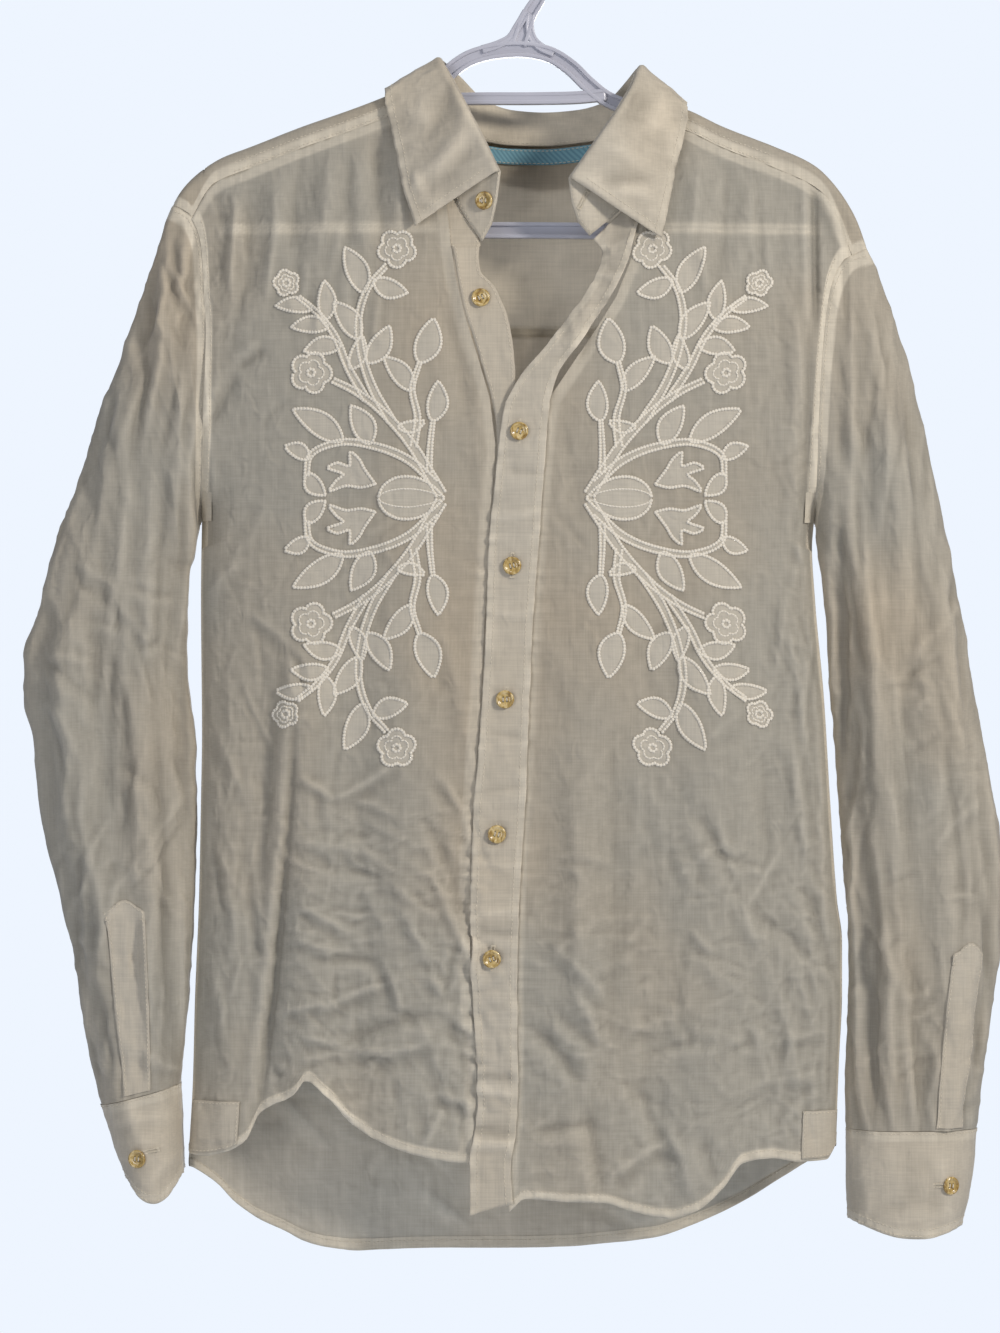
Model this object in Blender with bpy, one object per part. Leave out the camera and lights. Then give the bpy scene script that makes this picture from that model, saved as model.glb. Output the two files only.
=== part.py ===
# Button-up shirt hung on a moulded hanger.
# Metres in the solids, millimetres in the tables. +Z up, -Y to the front, X to the wearer's left.
# The origin is the inside top of the hook, where the rail carries it.
import math

import bmesh
import bpy
import numpy as np

MM = 0.001
UNIT = 0.66            # mm to one unit of the outline tables
CLOTH = 1.2            # wall of one cloth layer
SEAM = 0.4             # clear space at a seam
ARM_RADIUS = 7.2       # half depth of the fold that the cloth makes over the hanger arm
FRONT_DEPTH = 36.0
BACK_DEPTH = 24.0
BUTTON = 12.0


def px(u):
    return (u - 525.0) * UNIT


def pz(v):
    return -50.0 - UNIT * v


def smooth_curve(rows):
    """Monotone cubic through (where, value) rows."""
    rows = sorted(rows)
    xs = np.array([r[0] for r in rows], float)
    ys = np.array([r[1] for r in rows], float)
    h = np.diff(xs)
    s = np.diff(ys) / h
    m = np.zeros(len(xs))
    m[0], m[-1] = s[0], s[-1]
    for i in range(1, len(xs) - 1):
        if s[i - 1] * s[i] > 0:
            w1, w2 = 2 * h[i] + h[i - 1], h[i] + 2 * h[i - 1]
            m[i] = (w1 + w2) / (w1 / s[i - 1] + w2 / s[i])

    def at(q):
        q = min(max(q, xs[0]), xs[-1])
        i = min(int(np.searchsorted(xs, q, side="right")) - 1, len(xs) - 2)
        t = (q - xs[i]) / h[i]
        return ((2 * t**3 - 3 * t**2 + 1) * ys[i] + (t**3 - 2 * t**2 + t) * h[i] * m[i]
                + (3 * t**2 - 2 * t**3) * ys[i + 1] + (t**3 - t**2) * h[i] * m[i + 1])
    return at


def step(a, b, q):
    t = min(max((q - a) / (b - a), 0.0), 1.0)
    return t * t * (3 - 2 * t)


# Outline, in units: level down the shirt, edge across it.
RIDGE = smooth_curve([(172, 207), (180, 193), (190, 181), (204, 169), (222, 158), (248, 148),
                      (299, 128), (350, 110), (384, 97), (410, 86), (430, 80), (540, 84),
                      (640, 95), (667, 103), (688, 110), (721, 126), (775, 147), (815, 166),
                      (832, 182), (855, 217), (868, 252)])
EDGE_R = smooth_curve([(207, 172), (217, 190), (250, 202), (300, 205.5), (336, 207.5), (420, 205), (520, 202),
                       (600, 201), (735, 202), (800, 201), (900, 199), (1000, 195), (1080, 193),
                       (1150, 189)])
EDGE_L = smooth_curve([(252, 868), (263, 843), (310, 826), (400, 818), (520, 814), (548, 812), (600, 815),
                       (700, 824), (800, 830), (900, 837), (940, 842), (994, 842), (1060, 839),
                       (1137, 836)])
BAND_LEFT = smooth_curve([(401, 506), (429, 501), (482, 495), (559, 488), (628, 486), (699, 482),
                          (758, 478), (817, 473), (919, 471), (1005, 473), (1075, 478),
                          (1110, 477), (1155, 470), (1209, 470)])
BAND_RIGHT = smooth_curve([(401, 549), (482, 543), (551, 538), (615, 533), (699, 529),
                           (804, 525), (868, 521), (931, 518), (1011, 517), (1075, 518),
                           (1123, 516), (1164, 511), (1196, 513)])
OPEN_R = smooth_curve([(247, 480), (262, 479), (276, 481), (290, 494), (304, 501), (319, 507),
                       (360, 514), (401, 516)])
ARMPIT = {"r": 520.0, "l": 522.0}
TOP = {"r": 207.0, "l": 252.0}
HEM_R = smooth_curve([(189, 1152), (202, 1153), (228, 1148), (248, 1136), (262, 1109),
                      (296, 1090), (308, 1076), (330, 1092), (354, 1119), (393, 1141),
                      (422, 1150), (468, 1157), (520, 1157)])
HEM_L = smooth_curve([(470, 1209), (508, 1205), (524, 1192), (567, 1195), (600, 1196),
                      (634, 1206), (668, 1212), (693, 1205), (721, 1182), (741, 1158),
                      (769, 1154), (797, 1158), (825, 1157), (836, 1140)])
HEM_BACK = smooth_curve([(189, 1166), (216, 1187), (233, 1206), (260, 1225), (282, 1235),
                         (301, 1245), (325, 1252), (362, 1256), (447, 1254), (558, 1253),
                         (623, 1248), (656, 1243), (693, 1230), (741, 1208), (774, 1188),
                         (811, 1163), (836, 1146)])

# Big folds of the body. Each row: top and bottom across and down, in units, then the height
# of the fold and its half width in mm. A minus height is a hollow.
FRONT_FOLDS = [
    # x0,  z0,  x1,  z1, height, half
    (262, 690, 266, 1090, -5.0, 19), (232, 690, 228, 1090, 3.0, 18), (304, 600, 308, 1070, 4.5, 24),
    (356, 560, 352, 1110, -3.0, 20), (404, 380, 410, 1120, 3.0, 24),
    (600, 520, 572, 1170, 3.0, 26), (655, 420, 650, 1180, -3.0, 22), (706, 600, 712, 1170, 4.0, 24),
    (762, 470, 758, 1120, -3.0, 22),
]
BACK_FOLDS = [
    (250, 360, 240, 1150, 4.5, 26), (322, 340, 330, 1220, -4.5, 24), (410, 345, 404, 1230, 5.0, 26),
    (510, 345, 510, 1230, -3.0, 26), (600, 345, 610, 1230, 5.0, 26), (690, 345, 684, 1200, -4.5, 24),
    (772, 360, 780, 1140, 4.5, 24),
]


def folds(table, x, z):
    total = 0.0
    for x0, z0, x1, z1, height, half in table:
        top, low = pz(z0), pz(z1)
        t = (top - z) / (top - low)
        if t < -0.12 or t > 1.12:
            continue
        middle = px(x0) + (px(x1) - px(x0)) * t
        along = step(-0.12, 0.22, t) * (1 - 0.35 * step(0.8, 1.12, t))
        q = (x - middle) / half
        total += height * along * math.exp(-q * q)
    return total


def level(z):
    return (-50.0 - z) / UNIT


def section(x, z):
    """How far through the superellipse the point lies: 1 in the middle, 0 at a closed side."""
    v = level(z)
    a = px(EDGE_R(max(v, 330.0)))
    b = px(EDGE_L(max(v, 400.0)))
    middle, half = (a + b) / 2, (b - a) / 2
    side = 1.0 + 0.13 * (1 - step(430.0, 521.0, v))
    u = min(abs(x - middle) / (half * side), 1.0)
    return (1 - u**2.5) ** 0.4


def drape(d, reach):
    return 1 - math.exp(-(max(d - ARM_RADIUS, 0.0) / reach) ** 2)


def around(d):
    q = 1 - min(max(d, 0.0) / ARM_RADIUS, 1.0)
    return ARM_RADIUS * math.sqrt(max(1 - q * q, 0.0))


def front(x, z):
    d = pz(RIDGE(x / UNIT + 525)) - z
    g = section(x, z)
    low = step(-300.0, -830.0, z)
    full = FRONT_DEPTH * (1 + 0.08 * low) * g
    s = drape(d, 72.0)
    return full * s + around(d) * (1 - s) + folds(FRONT_FOLDS, x, z) * min(g * 1.6, 1.0) * s


def back(x, z):
    d = pz(RIDGE(x / UNIT + 525)) - z
    g = section(x, z)
    low = step(-300.0, -860.0, z)
    full = BACK_DEPTH * (1 + 0.35 * low) * g
    s = drape(d, 84.0)
    nape = 20.0 * math.exp(-((x - 8.0) / 66.0) ** 2 - ((z + 146.0) / 75.0) ** 2) * step(0, 30, d)
    return (full * s + around(d) * (1 - s) + nape
            + folds(BACK_FOLDS, x, z) * min(g * 1.6, 1.0) * s)


def normal_of(depth, x, z, sign):
    """Outward direction of the front (sign -1) or the back (sign 1) at a point."""
    e = 0.6
    fx = (depth(x + e, z) - depth(x - e, z)) / (2 * e)
    fz = (depth(x, z + e) - depth(x, z - e)) / (2 * e)
    n = np.array([-fx, sign, -fz])
    return n / np.linalg.norm(n)


def unit(v):
    return v / np.linalg.norm(v)


# Armhole: one loop a side. Level runs from the shoulder top to the armpit.
def armhole(side, part, v):
    z = pz(v)
    curve = EDGE_R if side == "r" else EDGE_L
    x = px(curve(v))
    out = -1.0 if side == "r" else 1.0
    sign = -1.0 if part == "front" else 1.0
    depth = front if part == "front" else back
    w_pit = step(ARMPIT[side] - 60, ARMPIT[side], v)
    w_top = 1 - step(TOP[side], TOP[side] + 34, v)
    y = sign * depth(x, z)
    y = y * (1 - w_pit**4) + sign * 0.45 * w_pit**4
    if abs(y) < 0.45:
        y = sign * 0.45
    n = normal_of(depth, x - out * 1.0, z, sign)
    top_dir = unit(np.array([out * 0.8, 0.9 * sign * step(0, 14, v - TOP[side]), 0.6]))
    pit_dir = np.array([0.0, 0.0, -1.0])
    n = unit(n * (1 - w_top) + top_dir * w_top)
    n = unit(n * (1 - w_pit) + pit_dir * w_pit)
    return np.array([x, y, z]), n


# Meshes.
def make(name, verts, faces, material):
    mesh = bpy.data.meshes.new(name)
    mesh.from_pydata([tuple(float(c) * MM for c in v) for v in verts], [], faces)
    mesh.update()
    bm = bmesh.new()
    bm.from_mesh(mesh)
    bmesh.ops.remove_doubles(bm, verts=bm.verts, dist=1e-6)
    bmesh.ops.recalc_face_normals(bm, faces=bm.faces)
    if bm.calc_volume(signed=True) < 0:
        bmesh.ops.reverse_faces(bm, faces=bm.faces)
    bm.to_mesh(mesh)
    bm.free()
    obj = bpy.data.objects.new(name, mesh)
    bpy.context.scene.collection.objects.link(obj)
    mat = bpy.data.materials.get(material) or bpy.data.materials.new(material)
    mesh.materials.append(mat)
    return obj


def grid_normals(grid, closed):
    rows, cols = grid.shape[:2]
    out = np.zeros_like(grid)
    for i in range(rows):
        a, b = grid[max(i - 1, 0)], grid[min(i + 1, rows - 1)]
        for j in range(cols):
            if closed:
                left, right = grid[i][(j - 1) % cols], grid[i][(j + 1) % cols]
            else:
                left, right = grid[i][max(j - 1, 0)], grid[i][min(j + 1, cols - 1)]
            n = np.cross(right - left, b[j] - a[j])
            size = np.linalg.norm(n)
            out[i][j] = n / size if size > 1e-9 else np.array([0, -1.0, 0])
    return out


def wall(name, grid, dirs, thick, material, closed=False):
    """A cloth wall from a grid of outer points and the outward direction at each."""
    rows, cols = grid.shape[:2]
    outer = grid.reshape(-1, 3)
    inner = outer - dirs.reshape(-1, 3) * thick
    verts = list(outer) + list(inner)
    n = rows * cols
    faces = []
    span = cols if closed else cols - 1
    for i in range(rows - 1):
        for j in range(span):
            k = (j + 1) % cols
            a, b, c, d = i * cols + j, i * cols + k, (i + 1) * cols + k, (i + 1) * cols + j
            faces.append((a, d, c, b))
            faces.append((n + a, n + b, n + c, n + d))
    for j in range(span):
        k = (j + 1) % cols
        faces.append((j, k, n + k, n + j))
        a, b = (rows - 1) * cols + j, (rows - 1) * cols + k
        faces.append((a, n + a, n + b, b))
    if not closed:
        for i in range(rows - 1):
            a, b = i * cols, (i + 1) * cols
            faces.append((a, n + a, n + b, b))
            a, b = i * cols + cols - 1, (i + 1) * cols + cols - 1
            faces.append((a, b, n + b, n + a))
    return make(name, verts, faces, material)


# Fronts. Rows run up from the hem, columns from the side to the middle.
FRONT_LEVELS = [0.0, 0.05, 0.1, 0.16, 0.22, 0.28, 0.34, 0.4, 0.46, 0.52, 0.57, 0.62, 0.66, 0.7,
                0.735, 0.77, 0.81, 0.85, 0.89, 0.93, 0.965, 1.0]
YOKE_DROP = 15.0


def yoke_seam(x):
    u = x / UNIT + 525
    steep = step(216, 176, u) + step(822, 862, u)
    return pz(RIDGE(u)) - YOKE_DROP - 20.0 * steep


def side_point(side, v):
    """Where the front or back panel ends at the side, at a level."""
    curve = EDGE_R if side == "r" else EDGE_L
    return px(curve(v)), pz(v)


def seam_end(side):
    """Level where the front yoke seam runs into the armhole."""
    curve = EDGE_R if side == "r" else EDGE_L
    v = TOP[side] + 3.0
    while level(yoke_seam(px(curve(v)))) > v:
        v += 0.5
    return v


FRONT_TOP = {"r": seam_end("r"), "l": seam_end("l")}


def front_panel(side):
    out = -1.0 if side == "r" else 1.0
    hem = HEM_R if side == "r" else HEM_L
    columns = np.array([0, 0.012, 0.045, 0.1, 0.18, 0.28, 0.38, 0.48, 0.58, 0.69, 0.8, 0.9, 1.0])
    side_low = 1152.0 if side == "r" else 1140.0
    grid, dirs = [], []
    for f in FRONT_LEVELS:
        v_side = side_low + (FRONT_TOP[side] - side_low) * f
        xs, zs = side_point(side, v_side)
        xs -= out * (SEAM / 2 + 2.4 * (1 - step(TOP[side] + 20, TOP[side] + 90, v_side))
                     if v_side < ARMPIT[side] else 0.0)
        xm, zm = middle_point(side, f)
        row, drow = [], []
        for c in columns:
            if f == 1.0:
                x = xs + (xm - xs) * c
                u = x / UNIT + 525
                z = yoke_seam(x) - SEAM / 2 - 1.4 * (step(240, 200, u) + step(800, 845, u))
                z = min(z, zs) if c == 0 else z
            else:
                x = xs + (xm - xs) * c
                straight = zs + (zm - zs) * c
                level_hem = pz(side_low) + (MIDDLE[side][0][2] - pz(side_low)) * c
                lower = (1 - f) ** 6 * (pz(hem(x / UNIT + 525)) - level_hem)
                upper = step(0.66, 1.0, f) * seam_rise(side, c)
                z = straight + lower + upper
            y = -max(front(x, z), 0.25)
            n = normal_of(front, x, z, -1.0)
            if c == 0.0:
                if v_side < ARMPIT[side]:
                    p, n = armhole(side, "front", v_side)
                    y = p[1]
                else:
                    p, pit = armhole(side, "front", ARMPIT[side])
                    blend = 1 - step(ARMPIT[side], ARMPIT[side] + 40, v_side)
                    y = -0.25
                    n = unit(np.array([out, 0.0, 0]) * (1 - blend) + pit * blend)
            row.append((x, y, z))
            drow.append(n)
        grid.append(row)
        dirs.append(drow)
    return np.array(grid), np.array(dirs)


def seam_rise(side, c):
    """Height of the yoke seam over the straight line between its two ends."""
    xs, zs = side_point(side, FRONT_TOP[side])
    xm, zm = neck_top(side)
    return yoke_seam(xs + (xm - xs) * c) - SEAM / 2 - (zs + (zm - zs) * c)


def neck_top(side):
    return (px(425.5), pz(105)) if side == "r" else (px(666), pz(127))


def middle_point(side, f):
    """The middle edge of a front: along the band, up the open neck, then round the neckline."""
    path = MIDDLE[side]
    total = path[-1][0]
    s = np.interp(f, [0.0, 0.69, 0.83, 1.0], [0.0, path_at(path, "v"), path_at(path, "stand"), total])
    x = np.interp(s, [p[0] for p in path], [p[1] for p in path])
    z = np.interp(s, [p[0] for p in path], [p[2] for p in path])
    return x, z


def path_at(path, mark):
    return [p[0] for p in path if p[3] == mark][0]


def run_path(points):
    out, s = [], 0.0
    for i, (x, z, mark) in enumerate(points):
        if i:
            s += math.hypot(x - points[i - 1][0], z - points[i - 1][1])
        out.append((s, x, z, mark))
    return out


# The under front's middle edge is the band seam, one band width from its free edge.
R_SEAM = smooth_curve([(247, 452), (300, 461), (350, 476), (401, 491), (429, 496), (500, 498)])


def middle_paths():
    r = []
    for v in [1157, 1110, 1060, 1000, 920, 850, 760, 690, 600, 520, 450]:
        r.append((px(min(BAND_LEFT(v) - 1.0, R_SEAM(v) - 1.2)), pz(v), ""))
    for v in [401, 360, 320, 285, 250]:
        r.append((px(R_SEAM(v) - 1.2), pz(v), "v" if v == 401 else ""))
    r += [(px(450), pz(234), "stand"), (px(447), pz(208), ""), (px(438), pz(176), ""),
          (px(431), pz(140), ""), (neck_top("r")[0], neck_top("r")[1], "")]
    left = []
    for v in [1196, 1150, 1110, 1060, 1000, 920, 850, 760, 690, 600, 520, 450]:
        left.append((px(BAND_RIGHT(v)) - 2.5, pz(v), ""))
    left += [(px(549), pz(401), "v"), (px(570), pz(370), ""), (px(597), pz(330), ""),
             (px(615), pz(301), ""), (px(640), pz(254), ""), (px(644), pz(226), "stand"),
             (px(650), pz(200), ""), (px(656), pz(176), ""), (px(661), pz(152), ""),
             (neck_top("l")[0], neck_top("l")[1], "")]
    return {"r": run_path(r), "l": run_path(left)}


MIDDLE = middle_paths()


# Back body panel, below the yoke.
BACK_SEAM = -271.0
BACK_LEVELS = [0.0, 0.06, 0.13, 0.2, 0.27, 0.34, 0.41, 0.48, 0.54, 0.6, 0.66, 0.71, 0.755, 0.79,
               0.83, 0.87, 0.91, 0.955, 1.0]


def back_panel():
    cols = np.array([0, 0.006, 0.022, 0.05, 0.095, 0.16, 0.23, 0.3, 0.37, 0.44, 0.5, 0.56, 0.63,
                     0.7, 0.77, 0.84, 0.905, 0.95, 0.978, 0.994, 1.0])
    top = level(BACK_SEAM + -SEAM / 2)
    grid, dirs = [], []
    for f in BACK_LEVELS:
        row, drow = [], []
        ends = {}
        for side, low in (("r", 1166.0), ("l", 1146.0)):
            v = low + (top - low) * f
            x, z = side_point(side, v)
            out = -1.0 if side == "r" else 1.0
            ends[side] = (x - out * (SEAM / 2 if v < ARMPIT[side] else 0.0), z, v, out)
        for c in cols:
            x = ends["r"][0] + (ends["l"][0] - ends["r"][0]) * c
            straight = ends["r"][1] + (ends["l"][1] - ends["r"][1]) * c
            level_hem = pz(1166.0 + (1146.0 - 1166.0) * c)
            z = straight + (1 - f) ** 5 * (pz(HEM_BACK(x / UNIT + 525)) - level_hem)
            y = max(back(x, z), 0.25)
            n = normal_of(back, x, z, 1.0)
            if c in (0.0, 1.0):
                side = "r" if c == 0.0 else "l"
                v, out = ends[side][2], ends[side][3]
                if v < ARMPIT[side]:
                    p, n = armhole(side, "back", v)
                    y = p[1]
                else:
                    _, pit = armhole(side, "back", ARMPIT[side])
                    blend = 1 - step(ARMPIT[side], ARMPIT[side] + 40, v)
                    y = 0.25
                    n = unit(np.array([out, 0.0, 0]) * (1 - blend) + pit * blend)
            row.append((x, y, z))
            drow.append(n)
        grid.append(row)
        dirs.append(drow)
    return np.array(grid), np.array(dirs)


# Yoke: over both shoulders and down to the back seam.
NECK_BACK = smooth_curve([(422, 88), (426, 94), (432, 104), (440, 117), (455, 130), (470, 138.5),
                          (510, 144.5), (545, 145), (585, 142), (622, 136), (648, 125),
                          (656, 119), (661, 114), (665, 110)])
NECK = (422.5, 665.0)      # where the neckline crosses the top of the shoulders


def run_at(d):
    """Run down the cloth from the top of the ridge to a drop d."""
    if d < ARM_RADIUS:
        return ARM_RADIUS * math.acos(1 - max(d, 0.0) / ARM_RADIUS)
    return ARM_RADIUS * math.pi / 2 + d - ARM_RADIUS


def yoke_point(x, s):
    """s is the run from the top of the ridge: minus to the front, plus to the back."""
    quarter = ARM_RADIUS * math.pi / 2
    a = abs(s) / ARM_RADIUS
    d = ARM_RADIUS * (1 - math.cos(a)) if abs(s) < quarter else ARM_RADIUS + abs(s) - quarter
    z = pz(RIDGE(x / UNIT + 525)) - d
    if s <= 0:
        return np.array([x, -front(x, z), z])
    return np.array([x, back(x, z), z])


def yoke_normal(x, s):
    e = 0.5
    across = yoke_point(x + e, s) - yoke_point(x - e, s)
    down = yoke_point(x, s + e) - yoke_point(x, s - e)
    return unit(np.cross(across, down))


def armhole_run(u, side):
    """Run from the ridge to the armhole, where a column near the shoulder end crosses it."""
    curve = EDGE_R if side == "r" else EDGE_L
    out = -1.0 if side == "r" else 1.0
    lo, hi = TOP[side], 336.0
    if (curve(hi) - u) * out > 0:
        return None
    for _ in range(40):
        mid = (lo + hi) / 2
        if (curve(mid) - u) * out > 0:
            lo = mid
        else:
            hi = mid
    return run_at(max((lo - RIDGE(u)) * UNIT - 1.0, 0.3))


YOKE_ROWS = (0, 0.04, 0.075, 0.1, 0.125, 0.155, 0.2, 0.28, 0.4, 0.55, 0.7, 0.85, 1.0)


def yoke_panel():
    units = [174.5, 180, 188, 196, 201, 204.5, 207, 209.5, 222, 242, 266, 296, 328, 360, 388, 406, 415, 419,
             420.2, 421.4, 422.6, 423.8, 425, 426.2, 432, 442, 460, 488, 524, 560, 596,
             624, 642, 654, 661.5, 662.9, 664.2, 665.5, 666.8, 668.2, 674,
             688, 712, 744, 776, 802, 820.5, 825, 832, 842, 853, 860, 865.5]
    rows, dirs = [], []
    for u in units:
        x = px(u)
        ridge = pz(RIDGE(u))
        start = -run_at(ridge - yoke_seam(x) - SEAM / 2)
        w = min(max((u - NECK[0] + 3.5) / 7.0, 0.0), 1.0) * min(max((NECK[1] + 3.5 - u) / 7.0, 0.0), 1.0)
        start += (run_at(ridge - pz(NECK_BACK(u))) - start) * w
        finish = run_at(ridge - BACK_SEAM - SEAM / 2)
        if u < 230 or u > 790:
            cut = armhole_run(u - 1.2, "r") if u < 230 else armhole_run(u + 1.2, "l")
            if cut is not None:
                finish = min(finish, cut)
                start = max(start, -cut)
        stops = [start + (finish - start) * q for q in YOKE_ROWS]
        rows.append([yoke_point(x, s) for s in stops])
        dirs.append([yoke_normal(x, s) for s in stops])
    return np.array(rows), np.array(dirs)


# Sleeves. Each row: outer edge across and down, inner edge across and down, depth in mm.
SLEEVE_R = [
    # outer x, outer v, inner x, inner v, depth
    (171.5, 207, 201.0, 521, 19.0), (163, 232, 199.5, 527, 20.5), (150, 270, 198, 535, 22.0),
    (136, 312, 197, 543, 22.5), (120, 360, 195.5, 552, 23.0), (98, 414, 193.5, 562, 23.0),
    (78, 484, 191.5, 570, 23.0), (52, 552, 189.5, 594, 23.0), (40, 610, 188.5, 626, 23.5),
    (24, 655, 188, 664, 24.0), (24, 700, 192, 704, 24.0), (35, 744, 197, 744, 24.0),
    (39, 800, 197.5, 798, 24.0), (47, 850, 196.5, 846, 24.0), (60, 900, 194, 895, 25.0),
    (71, 944, 192, 940, 26.0), (80, 1000, 190, 992, 27.0), (91, 1050, 186, 1038, 29.0),
    (101.5, 1103, 181, 1082, 31.0),
]
SLEEVE_L = [
    (869, 252, 815.5, 522, 19.0), (879, 276, 817.0, 528, 20.5), (889, 303, 817.4, 540, 22.0),
    (901, 342, 818.6, 550, 23.0), (914, 390, 820.0, 560, 23.0), (928, 448, 821.5, 568, 23.0),
    (940, 508, 823, 580, 23.0), (951, 560, 824, 603, 23.0), (961, 612, 826, 636, 23.5),
    (970, 664, 829, 675, 24.0), (978, 716, 832.5, 722, 24.0), (990, 780, 837, 782, 24.0),
    (999, 832, 840.5, 832, 24.0), (1003, 880, 844, 880, 24.0), (1001, 940, 849, 940, 24.0),
    (994, 988, 849, 988, 24.5), (987, 1040, 847, 1040, 25.0), (980, 1088, 847, 1086, 26.0),
    (976, 1127, 846.5, 1127, 27.0),
]
# Sleeve folds: place round the sleeve in turns from the outer edge by the front, the row
# where the fold begins and the one where it ends, height in mm, half width in turns.
SLEEVE_FOLDS = [
    (0.10, 2, 18, -2.6, 0.035), (0.17, 1, 17, 3.0, 0.035), (0.25, 3, 18, -3.2, 0.032),
    (0.33, 1, 16, 2.8, 0.035), (0.41, 4, 18, -2.4, 0.030), (0.60, 2, 18, 3.0, 0.035),
    (0.72, 1, 18, -3.0, 0.035), (0.84, 3, 18, 3.0, 0.035),
]
ROUND = 24
PIT_BLEND = 0.5


def ring(row, t, power=2.3):
    """A point of the section at t turns: 0 the outer edge, 0.25 the front, 0.5 the inner edge."""
    o = np.array([px(row[0]), 0.0, pz(row[1])])
    i = np.array([px(row[2]), 0.0, pz(row[3])])
    a = t * 2 * math.pi
    c = math.copysign(abs(math.cos(a)) ** (2 / power), math.cos(a))
    s = math.copysign(abs(math.sin(a)) ** (2 / power), math.sin(a))
    p = (o + i) / 2 + (o - i) / 2 * c
    p[1] = -3.0 * (1 - abs(c)) - row[4] * s
    return p


def armhole_at(side, t):
    part = "front" if t <= 0.5 else "back"
    q = t if t <= 0.5 else 1 - t
    a = q * 2 * math.pi
    f = (1 - math.copysign(abs(math.cos(a)) ** (2 / 2.3), math.cos(a))) / 2
    v = TOP[side] + (ARMPIT[side] - TOP[side]) * f
    return armhole(side, part, v)


def sleeve(side):
    table = SLEEVE_R if side == "r" else SLEEVE_L
    out = -1.0 if side == "r" else 1.0
    turns = [j / ROUND for j in range(ROUND)]
    last = len(table) - 1
    grid = []
    loop = []
    for t in turns:
        p, n = armhole_at(side, t)
        w_pit = math.exp(-((t - 0.5) / 0.05) ** 2)
        w_top = math.exp(-(min(t, 1 - t) / 0.12) ** 2)
        shift = np.array([out * SEAM * (1 - w_pit), 0.0, -1.2 * w_pit - 0.5 * w_top])
        near = math.exp(-((t - 0.5) / 0.045) ** 2)
        across = 0.0 if abs(t - 0.5) < 0.01 else math.copysign(0.5, t - 0.5)
        n = unit(n + np.array([-out * 0.8, across, 0.0]) * near)
        loop.append((p + shift, n))
    for k, row in enumerate(table):
        points = []
        keep = max(0.0, 1 - k / 5.0) ** 2
        for j, t in enumerate(turns):
            p = ring(row, t)
            base = ring(table[0], t)
            p = p + (loop[j][0] - base) * keep
            if k == 0:
                p = loop[j][0].copy()
            grow = 0.0
            for where, k0, k1, height, half in SLEEVE_FOLDS:
                q = (t - where) / half
                along = step(k0, k0 + 3, k) * (1 - step(k1 - 2, k1 + 1, k) * 0.6)
                grow += height * along * math.exp(-q * q)
            a = t * 2 * math.pi
            direction = np.array([out * math.cos(a) * 0.5, -math.sin(a), 0.0])
            points.append(p + direction * grow * min(k / 3.0, 1.0))
        grid.append(points)
    grid = np.array(grid)
    dirs = grid_normals(grid, True)
    if side == "r":
        dirs = -dirs
    middle = grid[10].mean(axis=0)
    if np.dot(dirs[10][6], grid[10][6] - middle) < 0:
        dirs = -dirs
    for j in range(ROUND):
        dirs[0][j] = loop[j][1]
    dirs[1] = unit_rows(dirs[0] * PIT_BLEND + dirs[1] * (1 - PIT_BLEND))
    dirs[last] = unit_rows(dirs[last] * np.array([1, 1, 0.0]))
    return grid, dirs


def unit_rows(a):
    return a / np.linalg.norm(a, axis=-1, keepdims=True)


def cuff(side, sleeve_grid):
    """The cuff goes on from the last ring of the sleeve."""
    top = sleeve_grid[-1].copy()
    rows = CUFF_R if side == "r" else CUFF_L
    grid = []
    for k, (ox, ov, ix, iv, depth, front_drop, f_at) in enumerate(rows):
        points = []
        for j in range(ROUND):
            t = j / ROUND
            p = ring((ox, ov, ix, iv, depth), t)
            w = max(0.0, 1 - k / 2.0)
            base = ring((rows[0][0], rows[0][1], rows[0][2], rows[0][3], rows[0][4]), t)
            p = p + (top[j] + np.array([0, 0, -SEAM]) - base) * w
            q = (t - f_at) / 0.13
            p[2] -= front_drop * UNIT * math.exp(-q * q)
            points.append(p)
        grid.append(points)
    grid = np.array(grid)
    dirs = grid_normals(grid, True)
    middle = grid[2].mean(axis=0)
    if np.dot(dirs[2][6], grid[2][6] - middle) < 0:
        dirs = -dirs
    dirs = unit_rows(dirs * np.array([1, 1, 0.0]))
    return grid, dirs


CUFF_R = [
    # outer x, outer v, inner x, inner v, depth, drop of the pointed end, its place
    (101.5, 1103.6, 181, 1082.6, 31.0, 0, 0.25), (107, 1122, 182.5, 1104, 32.0, 2, 0.26),
    (114, 1143, 183.5, 1130, 33.0, 6, 0.27), (121, 1162, 184.5, 1153, 33.5, 14, 0.27),
    (127, 1176, 184.5, 1168, 34.0, 26, 0.27),
]
CUFF_L = [
    (976, 1127.6, 846.5, 1127.6, 27.0, 0, 0.2), (975, 1150, 846, 1150, 27.5, 0, 0.2),
    (972, 1176, 846, 1176, 28.0, 1, 0.2), (967, 1202, 846.5, 1200, 28.0, 4, 0.22),
    (961, 1222, 848, 1217, 27.5, 14, 0.24),
]


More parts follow.
